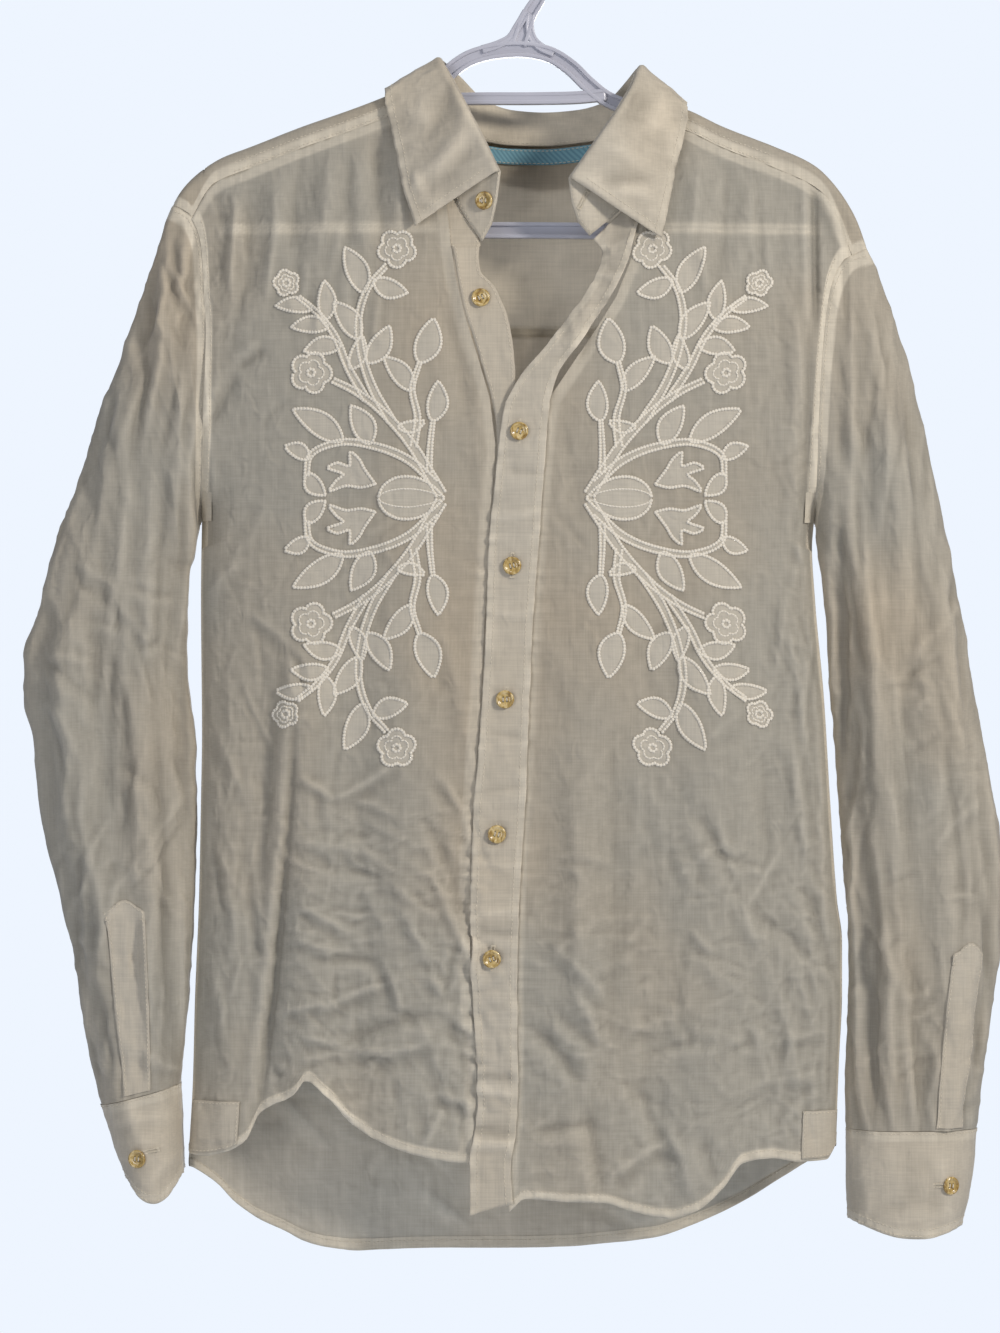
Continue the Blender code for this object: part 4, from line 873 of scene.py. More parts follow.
def middle_point(side, f):
    run, xz, marks = MIDDLE[side]
    s = np.interp(f, [0.0, 0.69, 0.83, 1.0], [0.0, marks["v"], marks["stand"], run[-1]])
    return np.interp(s, run, xz[:, 0]), np.interp(s, run, xz[:, 1])


def front_grid(side, rows, cols):
    """Points of a front, from its hem up and from its side in to the middle."""
    out = OUT[side]
    f = np.concatenate([np.linspace(0, 0.012, 5)[:-1], np.linspace(0.012, 1, rows)])[:, None]
    c = (0.25 * np.linspace(0, 1, cols) + 0.75 * np.linspace(0, 1, cols) ** 1.5)[None, :]
    v_side = SIDE_LOW[side] + (FRONT_TOP[side] - SIDE_LOW[side]) * f
    xs, zs = px(EDGE[side](v_side)) - out * 0.2 * (v_side < ARMPIT[side]), pz(v_side)
    xm, zm = middle_point(side, f)
    x = xs + (xm - xs) * c
    hem_level = pz(SIDE_LOW[side]) + (MIDDLE[side][1][0, 1] - pz(SIDE_LOW[side])) * c
    lower = (1 - f) ** 6 * (pz(HEM[side](units(x))) - hem_level)
    xa, za = px(EDGE[side](FRONT_TOP[side])), pz(FRONT_TOP[side])
    xb, zb = NECK_TOP[side]
    rise = yoke_seam(xa + (xb - xa) * c) - SEAM / 2 - (za + (zb - za) * c)
    z = zs + (zm - zs) * c + lower + step(0.66, 1.0, f) * rise
    depth = np.maximum(front_depth(x, z), 0.05)
    pit = step(ARMPIT[side] - UNDERARM, ARMPIT[side], v_side) ** 4
    near = np.exp(-np.abs(x - xs) / 5.0)
    depth = depth * (1 - pit * near * (v_side < ARMPIT[side] + BELOW_ARM)) + 0.3 * pit * near
    return points(x, -depth, z)


def strip(distance, width, soft=1.6):
    return 1 - step(width - soft / 2, width + soft / 2, distance)


def tucked_rows(depth, sign, row):
    """Seam allowance above the last row of a panel: it runs on behind the yoke."""
    rows = []
    for rise, under in TUCKS:
        x, z = row[:, 0], row[:, 2] + rise
        rows.append(points(x, sign * (depth(x, z) - under), z))
    return np.array(rows)


SEWING = Threads()
STITCH = dict(pitch=2.9, length=2.1, width=0.55, height=0.4, lift=0.12)


def topstitch(grid, normals, *rows):
    """Rows of sewing, each named by an edge and how far in from it."""
    for edge, inset in rows:
        SEWING.run(*edge_line(grid, normals, edge, inset), **STITCH)



def painted_bar_show_through(x, z):
    """The hanger's bar lies against the inside of the cloth; a pale line is painted where it would show
    through.
    """
    u = units(x)
    seen = step(205, 230, u) * (1 - step(430, 470, u)) + step(640, 680, u) * (1 - step(800, 830, u))
    return seen * (0.42 * bell((z - pz(228)) / 1.5) + 0.5 * bell((z - pz(234)) / 1.8)
                   + 0.12 * bell((z - pz(231)) / 5.0))


def hung_panel(name, grid, normals, tuck, relief, layers, tone, top_layers):
    """A panel with its hem turned under at the foot and its seam allowance at the top."""
    whole, ways = hemmed(grid, normals, HEM_WIDTH)
    turning = np.zeros((len(whole) - len(grid), grid.shape[1]))
    above = len(tuck)
    whole = np.concatenate([whole, tuck])
    ways = np.concatenate([ways, np.repeat(ways[-1:], above, 0)])
    layers = np.concatenate([turning + 0.9, layers, np.repeat(top_layers, above, 0)])
    tone = np.concatenate([turning, tone, np.repeat(tone[-1:], above, 0)])
    hollow = relief.hollow(whole[..., 0], whole[..., 2])
    obj = cloth_mesh(name + "_voile", whole, ways, VOILE, layers=layers, tone=tone, hollow=hollow)
    dressed(obj, name)


def make_front(side, name):
    grid = front_grid(side, FRONT_ROWS, FRONT_COLS)
    normals = facing(normals_of(grid), FRONT_ROWS // 2, FRONT_COLS // 2, (0, -1, 0))
    side_seam = strip(distance_to(grid, "first_col"), SIDE_TURNING)
    hem = strip(distance_to(grid, "first_row"), HEM_WIDTH, 1.0)
    top = strip(distance_to(grid, "last_row"), 6.0)
    middle = strip(distance_to(grid, "last_col"), 7.0)
    # The layers also carry the painted pale line of the hanger's bar, which makes the colour paler there.
    layers = np.maximum.reduce([0.95 * side_seam, 0.9 * hem, 0.6 * top, 0.5 * middle,
                                painted_bar_show_through(grid[..., 0], grid[..., 2])])
    grid = grid + normals * (0.3 * hem * step(0.2, 1.4, distance_to(grid, "first_row")))[..., None]
    topstitch(grid, normals, ("first_row", HEM_WIDTH - 1.2))
    topstitch(grid[:-4], normals[:-4], ("first_col", 6.5))
    tone = tone_at(grid[..., 0], grid[..., 2])
    hung_panel(name, grid, normals, tucked_rows(front_depth, -1, grid[-1]), FRONT_RELIEF, layers, tone,
               layers[-1:])


# Back panel and yoke.
def make_back():
    """The back from its curved tail up to the yoke seam."""
    f = np.concatenate([np.linspace(0, 0.012, 5)[:-1], np.linspace(0.012, 1, BACK_ROWS)])[:, None]
    t = np.linspace(-1, 1, BACK_COLS)
    c = ((0.72 * t + 0.28 * np.sin(t * math.pi / 2) ** 3) * 0.5 + 0.5)[None, :]
    c = (c - c.min()) / (c.max() - c.min())
    top = level(BACK_SEAM - SEAM / 2)
    ends = {}
    for side, low in (("r", 1166.0), ("l", 1146.0)):
        v = low + (top - low) * f
        ends[side] = (px(EDGE[side](v)), pz(v), v)
    x = ends["r"][0] + (ends["l"][0] - ends["r"][0]) * c
    straight = ends["r"][1] + (ends["l"][1] - ends["r"][1]) * c
    z = straight + (1 - f) ** 5 * (pz(HEM_BACK(units(x))) - pz(1166.0 - 20.0 * c))
    depth = np.maximum(back_depth(x, z), 0.05)
    for side in "rl":
        xs, _, v = ends[side]
        pit = step(ARMPIT[side] - UNDERARM, ARMPIT[side], v) ** 4 * (v < ARMPIT[side] + BELOW_ARM)
        near = np.exp(-np.abs(x - xs) / 5.0)
        depth = depth * (1 - pit * near) + 0.3 * pit * near
    grid = points(x, depth, z)
    normals = facing(normals_of(grid), 120, 70, (0, 1, 0))
    hem = strip(distance_to(grid, "first_row"), HEM_WIDTH, 1.0)
    sides = np.maximum(strip(distance_to(grid, "first_col"), SIDE_TURNING),
                       strip(distance_to(grid, "last_col"), SIDE_TURNING))
    layers = np.maximum(0.9 * hem, 0.6 * sides)
    grid = grid + normals * (0.3 * hem * step(0.2, 1.4, distance_to(grid, "first_row")))[..., None]
    topstitch(grid, normals, ("first_row", HEM_WIDTH - 1.2))
    inside, ways = edge_line(grid, normals, "first_row", HEM_WIDTH - 1.2)
    SEWING.run(inside - ways * PLY, -ways, **STITCH)
    warm = 0.6 * bell(grid[..., 0] / 130) * step(1000, 700, level(grid[..., 2]))
    hung_panel("back", grid, normals, tucked_rows(back_depth, 1, grid[-1]), BACK_RELIEF, layers, warm,
               np.full_like(layers[-1:], 0.8))


NECK_BACK = curve([(422, 88), (426, 94), (432, 104), (440, 117), (455, 130), (470, 138.5),
                   (510, 144.5), (545, 145), (585, 142), (622, 136), (648, 125),
                   (656, 119), (661, 114), (665, 110)])
NECK = (422.5, 665.0)


def run_at(d):
    """Run down the cloth from the top of the ridge to a drop d."""
    inner = ARM_RADIUS * np.arccos(np.clip(1 - np.maximum(d, 0.0) / ARM_RADIUS, -1, 1))
    return np.where(d < ARM_RADIUS, inner, ARM_RADIUS * math.pi / 2 + d - ARM_RADIUS)


def yoke_points(x, s):
    quarter = ARM_RADIUS * math.pi / 2
    a = np.abs(s) / ARM_RADIUS
    d = np.where(np.abs(s) < quarter, ARM_RADIUS * (1 - np.cos(np.minimum(a, math.pi / 2))),
                 ARM_RADIUS + np.abs(s) - quarter)
    z = pz(RIDGE(units(x))) - d
    rough = 0.8 * (crumple(x, z, 43, 16.0, 13.0) - 0.5) * step(3, 30, d)
    seams = 1.5 * puckers(x, np.abs(z - BACK_SEAM), 44, 7.0) * (s > 0)
    seams = seams + 1.8 * puckers(x + 0 * s, np.abs(d - YOKE_DROP), 45, 6.0) * (s < 0)
    y = np.where(s <= 0, -front_form(x, z), back_form(x, z))
    return points(x, y + np.where(s <= 0, -1.0, 1.0) * (rough + seams), z), -(rough + seams)


def armhole_run(u, side):
    out = OUT[side]
    if (EDGE[side](336.0) - u) * out > 0:
        return None
    lo, hi = TOP[side], 336.0
    for _ in range(30):
        mid = (lo + hi) / 2
        lo, hi = (mid, hi) if (EDGE[side](mid) - u) * out > 0 else (lo, mid)
    return float(run_at(np.maximum((lo - RIDGE(u)) * UNIT - 0.6, 0.3)))


def make_yoke():
    """The yoke, over the ridge from its front seams to its back seam."""
    u = np.concatenate([np.linspace(174.5, 230, 26), np.linspace(234, 416, 60),
                        np.linspace(418, 427, 12), np.linspace(430, 658, 76),
                        np.linspace(660.5, 669.5, 12), np.linspace(673, 812, 46),
                        np.linspace(815, 865.5, 26)])
    stops = np.linspace(0.0, 1.0, YOKE_ROWS)
    rows = []
    for at in u:
        x, ridge = px(at), pz(RIDGE(at))
        start = -run_at(ridge - yoke_seam(x) - SEAM / 2)
        w = np.clip((at - NECK[0] + 3.5) / 7, 0, 1) * np.clip((NECK[1] + 3.5 - at) / 7, 0, 1)
        start = start + (run_at(ridge - pz(NECK_BACK(at))) - start) * w
        finish = run_at(ridge - BACK_SEAM - SEAM / 2)
        if at < 230 or at > 790:
            cut = armhole_run(at - 0.7, "r") if at < 230 else armhole_run(at + 0.7, "l")
            if cut is not None:
                start, finish = max(start, -cut), min(finish, cut)
        rows.append(yoke_points(x, start + (finish - start) * stops))
    hollow = np.array([row[1] for row in rows])
    grid = np.array([row[0] for row in rows])
    normals = facing(normals_of(grid), 100, 50, (0, 1, 0.2))
    layers = np.maximum(0.75 * strip(distance_to(grid, "last_col"), 7.0),
                        0.8 * strip(distance_to(grid, "first_col"), 7.0))
    for part in (slice(26, 86), slice(172, 218)):
        topstitch(grid[part], normals[part], ("first_col", 1.6), ("first_col", 7.5))
    topstitch(grid[10:-10], normals[10:-10], ("last_col", 1.6), ("last_col", 7.0))
    tone = np.full(grid.shape[:2], 0.6)
    return dressed(cloth_mesh("yoke_voile", grid, normals, VOILE_YOKE, layers=layers, tone=tone,
                              hollow=0.7 * hollow),
                   "yoke")


# Sleeves and cuffs. Each row: outer edge across and down, inner edge across and down, depth.
SLEEVE = {
    "r": [
        (171.5, 207, 201.0, 521, 19.0), (163, 232, 199.5, 527, 20.5), (150, 270, 198, 535, 22.0),
        (136, 312, 197, 543, 22.5), (120, 360, 195.5, 552, 23.0), (98, 414, 193.5, 562, 23.0),
        (78, 484, 191.5, 570, 23.0), (52, 552, 189.5, 594, 23.0), (40, 610, 188.5, 626, 23.5),
        (24, 655, 188, 664, 24.0), (24, 700, 192, 704, 24.0), (35, 744, 197, 744, 24.0),
        (39, 800, 197.5, 798, 24.0), (47, 850, 196.5, 846, 24.0), (60, 900, 194, 895, 25.0),
        (71, 944, 192, 940, 26.0), (80, 1000, 190, 992, 27.0), (91, 1050, 186, 1038, 29.0),
        (101.5, 1103, 181, 1082, 31.0)],
    "l": [
        (869, 252, 815.5, 522, 19.0), (879, 276, 817.0, 528, 20.5), (889, 303, 817.4, 540, 22.0),
        (901, 342, 818.6, 550, 23.0), (914, 390, 820.0, 560, 23.0), (928, 448, 821.5, 568, 23.0),
        (940, 508, 823, 580, 23.0), (951, 560, 824, 603, 23.0), (961, 612, 826, 636, 23.5),
        (970, 664, 829, 675, 24.0), (978, 716, 832.5, 722, 24.0), (990, 780, 837, 782, 24.0),
        (999, 832, 840.5, 832, 24.0), (1003, 880, 844, 880, 24.0), (1001, 940, 849, 940, 24.0),
        (994, 988, 849, 988, 24.5), (987, 1040, 847, 1040, 25.0), (980, 1088, 847, 1086, 26.0),
        (976, 1127, 846.5, 1127, 27.0)],
}
SLEEVE_FOLDS = [
    # turns round from the outer edge by the front, first row, last row, height, half width
    (0.10, 2, 18, -2.6, 0.035), (0.17, 1, 17, 3.0, 0.035), (0.25, 3, 18, -3.2, 0.032),
    (0.33, 1, 16, 2.8, 0.035), (0.41, 4, 18, -2.4, 0.030), (0.60, 2, 18, 3.0, 0.035),
    (0.72, 1, 18, -3.0, 0.035), (0.84, 3, 18, 3.0, 0.035),
]
CUFF = {
    # outer x, outer v, inner x, inner v, depth, drop of the pointed end, its place
    "r": [(101.5, 1103.6, 181, 1082.6, 31.0, 0, 0.25), (107, 1122, 182.5, 1104, 32.0, 2, 0.26),
          (114, 1143, 183.5, 1130, 33.0, 6, 0.27), (121, 1162, 184.5, 1153, 33.5, 14, 0.27),
          (127, 1176, 184.5, 1168, 34.0, 26, 0.27)],
    "l": [(976, 1127.6, 846.5, 1127.6, 27.0, 0, 0.2), (975, 1150, 846, 1150, 27.5, 0, 0.2),
          (972, 1176, 846, 1176, 28.0, 1, 0.2), (967, 1202, 846.5, 1200, 28.0, 4, 0.22),
          (961, 1222, 848, 1217, 27.5, 14, 0.24)],
}
SLEEVE_CREASES = {
    "r": [
        (190, 200, 180, 320, 2.0, 5, 2), (202, 217, 186, 300, -1.8, 4, 2),
        (170, 230, 150, 420, 1.8, 7, 4), (150, 300, 120, 520, -1.8, 7, 4),
        (182, 330, 176, 560, 1.6, 6, 2), (132, 420, 108, 640, 1.6, 7, 4),
        (100, 480, 60, 640, -1.6, 7, 4), (165, 480, 158, 720, -1.8, 6, 2),
        (190, 520, 196, 820, 2.0, 6, 0), (60, 640, 70, 860, 1.6, 7, 4),
        (92, 600, 104, 840, -1.6, 7, 3), (126, 640, 140, 900, 1.8, 7, 4),
        (160, 720, 170, 1010, -2.0, 6, 3), (84, 820, 110, 960, 1.6, 6, 3),
        (50, 700, 84, 760, 1.2, 5, 2), (44, 660, 96, 700, -1.2, 5, 2),
        (180, 860, 182, 1060, 1.6, 5, 1), (146, 900, 156, 1080, 1.6, 5, 2),
        (96, 980, 118, 1080, -1.4, 5, 1), (120, 1040, 176, 1068, 1.2, 5, 2),
        (70, 560, 130, 600, 1.0, 5, 2), (120, 760, 170, 800, -1.0, 5, 2),
    ],
    "l": [
        (846, 262, 850, 480, 1.6, 5, 1), (844, 215, 846, 330, -2.6, 3.5, 0),
        (870, 300, 884, 560, 1.8, 8, 4), (900, 380, 916, 640, -1.7, 7, 4),
        (836, 500, 840, 800, -1.8, 5, 1), (862, 560, 872, 840, 1.8, 7, 3),
        (930, 520, 950, 760, 1.6, 7, 4), (896, 640, 906, 900, -2.0, 7, 3),
        (850, 780, 858, 1100, 1.6, 5, 1), (940, 740, 960, 960, -1.8, 7, 4),
        (880, 880, 888, 1120, 1.7, 6, 2), (980, 760, 992, 960, 1.6, 6, 3),
        (910, 930, 918, 1125, -1.6, 5, 1), (868, 980, 872, 1120, -1.5, 4, 0),
        (960, 600, 900, 660, 0.9, 5, 2), (985, 900, 972, 1080, -1.5, 5, 2),
        (856, 640, 900, 700, 0.9, 5, 2), (930, 850, 975, 800, 1.0, 5, 2),
    ],
}
SLEEVE_LOOSE = {
    "r": strewn(
        (51, 130, (36, 230, 200, 1090), -6, 13, (26, 110), (0.3, 1.0), (2.2, 4.6)),
        (52, 40, (50, 560, 195, 1080), 60, 30, (14, 34), (0.3, 0.8), (2.2, 4.0)),
        (53, 26, (160, 180, 204, 330), 8, 30, (14, 40), (0.4, 1.0), (2.0, 3.6))),
    "l": strewn(
        (61, 130, (820, 270, 990, 1110), 5, 10, (26, 120), (0.3, 1.0), (2.2, 4.6)),
        (62, 36, (830, 620, 990, 1110), -60, 30, (14, 34), (0.3, 0.8), (2.2, 4.0))),
}
SLEEVE_BACK_LOOSE = {
    "r": strewn(
        (71, 120, (36, 230, 200, 1090), -6, 15, (26, 110), (0.4, 1.2), (2.4, 5.0))),
    "l": strewn(
        (72, 120, (820, 270, 990, 1110), 5, 14, (26, 120), (0.4, 1.2), (2.4, 5.0))),
}


def turned(value, power):
    return np.sign(value) * np.abs(value) ** power


SLEEVE_POWER = 2.3     # how square the sleeve's section is: 2 is an ellipse


def ring(row, t, power=SLEEVE_POWER):
    """Section of a sleeve at t turns: 0 the outer edge, 0.25 the front, 0.5 the inner edge."""
    ox, ov, ix, iv, deep = (np.asarray(r) for r in row)
    a = t * 2 * math.pi
    c, s = turned(np.cos(a), 2 / power), turned(np.sin(a), 2 / power)
    xo, xi, zo, zi = px(ox), px(ix), pz(ov), pz(iv)
    return points((xo + xi) / 2 + (xo - xi) / 2 * c, -3.0 * (1 - np.abs(c)) - deep * s,
                  (zo + zi) / 2 + (zo - zi) / 2 * c)


def table_curves(table):
    return [curve([(k, row[n]) for k, row in enumerate(table)]) for n in range(len(table[0]))]


def armhole_level(side, t):
    """How far down the armhole a place lies, t turns round the sleeve from its outer edge."""
    q = np.where(t <= 0.5, t, 1 - t)
    f = (1 - turned(np.cos(q * 2 * math.pi), 2 / SLEEVE_POWER)) / 2
    return TOP[side] + (ARMPIT[side] - TOP[side]) * f


def armhole_loop(side, t):
    v = armhole_level(side, t)
    out = OUT[side]
    p = np.where((t <= 0.5)[:, None], armhole(side, "front", v), armhole(side, "back", v))
    pit = bell((t - 0.5) / 0.05)
    top = bell(np.minimum(t, 1 - t) / 0.12)
    return p + points(out * SEAM * (1 - pit), 0 * t, -1.2 * pit - 0.5 * top)


def under_armhole(side, t, inset):
    """The sleeve's seam allowance, which lies inside the body's edge."""
    v = armhole_level(side, t)
    out = OUT[side]
    x = px(EDGE[side](v)) - out * inset
    drop = pz(RIDGE(EDGE[side](v))) - pz(v)
    w = step(250, 330, v)
    z = (pz(RIDGE(units(x))) - drop) * (1 - w) + pz(v) * w - 0.9
    low = 0.3 * step(ARMPIT[side] - UNDERARM, ARMPIT[side], v)
    front_y = -np.maximum(front_depth(x, z) - 0.9 - low, 0.0)
    back_y = np.maximum(back_depth(x, z) - 0.9 - low, 0.0)
    return points(x, np.where(t <= 0.5, front_y, back_y), z)


def sleeve_form(side, k, t):
    """Points of the sleeve at row k of its table and t turns, before its small creases."""
    out = OUT[side]
    rows = [c(k)[:, None] for c in table_curves(SLEEVE[side])]
    base = ring([c(0.0) for c in table_curves(SLEEVE[side])], t)
    loop = armhole_loop(side, t)
    keep = np.maximum(0.0, 1 - k / 5.0)[:, None, None] ** 2
    p = ring(rows, t[None, :]) + (loop - base)[None] * keep
    grow = np.zeros((len(k), len(t)))
    for where, k0, k1, height, half in SLEEVE_FOLDS:
        along = step(k0, k0 + 3, k) * (1 - step(k1 - 2, k1 + 1, k) * 0.6)
        grow = grow + height * along[:, None] * bell((t[None, :] - where) / half)
    a = t * 2 * math.pi
    way = points(out * np.cos(a) * 0.5, -np.sin(a), 0 * a)[None]
    return p + way * (grow * np.minimum(k / 3.0, 1.0)[:, None])[..., None]


SLEEVE_GRIDS = {}
ROUND = 150            # points round a sleeve or cuff
CUFF_ROW = 18.0        # row of the sleeve's table where the cuff starts


def sleeve_detail(side, grid, t):
    x, z = grid[..., 0], grid[..., 2]
    s = np.sin(t * 2 * math.pi)[None, :]
    ahead, behind = step(0.05, 0.5, s), step(0.05, 0.5, -s)
    seed = 80 if side == "r" else 90
    rough = 2.2 * (crumple(x, z, seed, 10.0, 80.0) - 0.5) + 0.9 * (crumple(x, z, seed + 3, 14, 17) - 0.5)
    span = (0, 180, 225, 1150) if side == "r" else (800, 180, 1025, 1150)
    before, after = Relief(*span), Relief(*span)
    before.press(SLEEVE_CREASES[side], 2.2)
    before.press(SLEEVE_LOOSE[side], 1.7)
    after.press([(a + 9, b + 30, c + 9, d + 30, *rest) for a, b, c, d, *rest in SLEEVE_CREASES[side]], -1.3)
    after.press(SLEEVE_BACK_LOOSE[side], 1.4)
    dip = before.hollow(x, z) * ahead + after.hollow(x, z) * behind - 0.45 * rough
    return before(x, z) * ahead + after(x, z) * behind + rough, dip


def make_sleeve(side, name):
    """A sleeve as one tube, gathered into its cuff and pulled in at the armhole."""
    t = np.arange(ROUND) / ROUND
    k = np.concatenate([np.linspace(0, 1, 12)[:-1], np.linspace(1, CUFF_ROW, 240)])
    grid = sleeve_form(side, k, t)
    normals = normals_of(grid, True)
    middle = grid[120].mean(0)
    j = ROUND // 4
    normals = facing(normals, 120, j, grid[120, j] - middle)
    ends = step(0, 1.2, k)[:, None] * (1 - 0.5 * step(17.2, CUFF_ROW, k))[:, None]
    run = run_along(grid[-1])
    gathers = 1.6 * (lattice(run / 5.2, np.zeros(ROUND), 97) - 0.5)[None, :] * step(15.6, 17.6, k)[:, None]
    pulled = 0.9 * (lattice(t * 46, np.zeros(ROUND), 98) - 0.5)[None, :] * bell((k[:, None] - 0.5) / 0.9)
    detail, hollow = sleeve_detail(side, grid, t)
    detail = detail * ends + gathers * (1 - step(17.8, CUFF_ROW, k))[:, None]
    grid = grid + normals * (detail + pulled * step(0, 0.3, k)[:, None])[..., None]
    normals = facing(normals_of(grid, True), 120, j, normals[120, j])
    SLEEVE_GRIDS[side] = (grid, normals, k)
    layers = 0.75 * strip(distance_to(grid, "first_row"), 8.0)
    seam = bell((t[None, :] - 0.5) / 0.012) * 0.5
    layers = np.maximum(layers, seam)
    topstitch(grid[:, 4:-4], normals[:, 4:-4], ("first_row", 1.6))
    tone = np.clip(0.25 + 0.5 * (lattice(grid[..., 0] / 60, grid[..., 2] / 90, 99) - 0.4), 0, 1)
    tuck = np.array([under_armhole(side, t, inset) for inset in ARM_TUCKS])
    whole = np.concatenate([tuck, grid])
    ways, layers, tone, hollow = (np.concatenate([np.repeat(a[:1], len(tuck), 0), a])
                                  for a in (normals, layers, tone, hollow))
    obj = cloth_mesh(name + "_voile", whole, ways, VOILE, closed=True, layers=layers, tone=tone,
                     hollow=hollow)
    dressed(obj, name)


def cuff_form(side, k, t):
    curves = table_curves(CUFF[side])
    first = ring([c(0.0) for c in curves[:5]], t)
    ends = sleeve_form(side, np.array([CUFF_ROW]), t)[0] + np.array([0, 0, -SEAM])
    p = ring([c(k)[:, None] for c in curves[:5]], t[None, :])
    p = p + (ends - first)[None] * np.maximum(0.0, 1 - k / 2.0)[:, None, None]
    drop, place = curves[5](k)[:, None], curves[6](k)[:, None]
    p[..., 2] -= drop * UNIT * bell((t[None, :] - place) / 0.13)
    return p


CUFF_CREASES = {
    "r": [(112, 1120, 178, 1112, 0.9, 4, 2), (128, 1090, 150, 1150, 0.9, 5, 1),
          (150, 1180, 178, 1150, 0.8, 4, 1), (124, 1150, 134, 1190, -0.7, 4, 0)],
    "l": [(858, 1140, 866, 1210, 0.8, 5, 0), (900, 1135, 906, 1200, -0.8, 5, 1),
          (932, 1140, 950, 1225, 0.8, 5, 1), (870, 1205, 950, 1196, -0.7, 5, 2)],
}


def make_cuff(side, name):
    """A cuff as a double tube with topstitching at both edges."""
    t = np.arange(ROUND) / ROUND
    k = np.linspace(0, 4, 44)
    grid = cuff_form(side, k, t)
    j = ROUND // 4
    normals = facing(normals_of(grid, True), 20, j, grid[20, j] - grid[20].mean(0))
    x, z = grid[..., 0], grid[..., 2]
    h = creases(CUFF_CREASES[side], x, z) * step(0, 0.3, np.sin(t * 2 * math.pi))[None, :]
    h = h + 0.7 * (crumple(x, z, 101, 13, 13) - 0.5)
    run = run_along(grid[-1])[None, :]
    away = distance_to(grid, "last_row")
    h = h + 1.3 * puckers(np.broadcast_to(run, x.shape), away, 103, 5.0)
    h = h + 1.6 * puckers(np.broadcast_to(run, x.shape), distance_to(grid, "first_row"), 104, 5.0)
    grid = grid + normals * h[..., None]
    normals = facing(normals_of(grid, True), 20, j, normals[20, j])
    topstitch(grid, normals, ("last_row", 1.8), ("last_row", 6.0), ("first_row", 1.6))
    layers = np.maximum(0.5 * strip(away, 6.5), 0.5 * strip(distance_to(grid, "first_row"), 6.0))
    inner = grid - normals * 1.1
    whole = np.concatenate([grid, inner[::-1]])
    ways = np.concatenate([normals, -normals[::-1]])
    layers = np.concatenate([layers, layers[::-1]])
    hollow = np.concatenate([-0.7 * h, -0.7 * h[::-1]])
    obj = cloth_mesh(name + "_voile", whole, ways, VOILE_DOUBLE, closed=True, layers=layers, tone=0.45,
                     hollow=hollow)
    dressed(obj, name)
    CUFF_GRIDS[side] = (grid, normals)


CUFF_GRIDS = {}


def plied(name, node, grid, normals, gap, material=None, layers=None, tone=0.4, hollow=None):
    """Cloth folded double: an outer layer, and an inner one that meets it at every edge."""
    rows, cols = grid.shape[:2]
    around_edge = lambda outer, inner: np.concatenate([outer, inner[::-1]])
    inner = grid - normals * gap
    body = around_edge(grid, inner)
    ways = around_edge(normals, -normals)
    shade = np.zeros((rows, cols)) if layers is None else layers
    shade = around_edge(shade, shade)
    dip = None if hollow is None else around_edge(hollow, hollow)
    obj = cloth_mesh(name, body, ways, material or VOILE_DOUBLE, layers=shade, tone=tone, hollow=dip)
    bm = bmesh.new()
    bm.from_mesh(obj.data)
    bm.verts.ensure_lookup_table()
    at = lambda r, c: bm.verts[r * cols + c]
    total = 2 * rows
    for r in range(rows - 1):
        for c in (0, cols - 1):
            quad = [at(r, c), at(r + 1, c), at(total - 2 - r, c), at(total - 1 - r, c)]
            bm.faces.new(quad if c == 0 else quad[::-1])
    for c in range(cols - 1):
        bm.faces.new([at(0, c), at(0, c + 1), at(total - 1, c + 1), at(total - 1, c)])
    bmesh.ops.recalc_face_normals(bm, faces=bm.faces)
    bm.to_mesh(obj.data)
    bm.free()
    obj.data.shade_smooth()
    if node:
        dressed(obj, node)
    return obj


def resample(grid, rows, cols, row_at=None, col_at=None):
    """A finer grid through the same points, smooth between them."""
    r = np.linspace(0, grid.shape[0] - 1, rows) if row_at is None else row_at
    c = np.linspace(0, grid.shape[1] - 1, cols) if col_at is None else col_at
    along = np.stack([np.stack([curve(list(enumerate(grid[:, j, n])))(r) for n in range(3)], -1)
                      for j in range(grid.shape[1])], 1)
    return np.stack([np.stack([curve(list(enumerate(along[i, :, n])))(c) for n in range(3)], -1)
                     for i in range(len(r))], 0)


# Collar. Each row: base, fold top and leaf edge, then the fold's depth and which side it is on.
COLLAR = [
    # base x, base v, fold x, fold v, leaf x, leaf v, fold y, turn (-1 front, 0 side, 1 back)
    (481, 246, 500, 178, 416, 232, -40.0, -1), (462, 216, 486, 148, 403, 190, -35.0, -1),
    (446, 178, 468, 112, 396, 152, -26.0, -1), (434, 130, 452, 80, 389, 122, -13.0, -1),
    (426, 89, 445, 66, 386, 106, -5.0, -1),
    (424, 80.5, 443, 61, 385, 98, 1.0, 0), (427, 88.5, 447, 63, 391, 108, 7.0, 1),
    (440, 112, 460, 74, 410, 128, 18.0, 1),
    (470, 134, 486, 96, 460, 162, 33.0, 1), (510, 141.5, 514, 104, 506, 182, 40.0, 1),
    (545, 142, 545, 106, 548, 188, 41.0, 1), (585, 139, 578, 104, 590, 182, 39.0, 1),
    (622, 132, 608, 96, 634, 166, 32.0, 1), (648, 120, 628, 78, 672, 140, 18.0, 1),
    (661, 107, 635, 70, 683, 120, 7.0, 1), (665, 99.5, 637, 68, 687, 108, 1.0, 0),
    (662, 109, 635, 73, 687, 118, -5.0, -1), (655, 146, 631, 86, 684, 136, -13.0, -1),
    (644, 182, 617, 112, 676, 168, -26.0, -1), (622, 212, 597, 142, 668, 206, -35.0, -1),
    (590, 240, 568, 184, 660, 243, -40.0, -1),
]


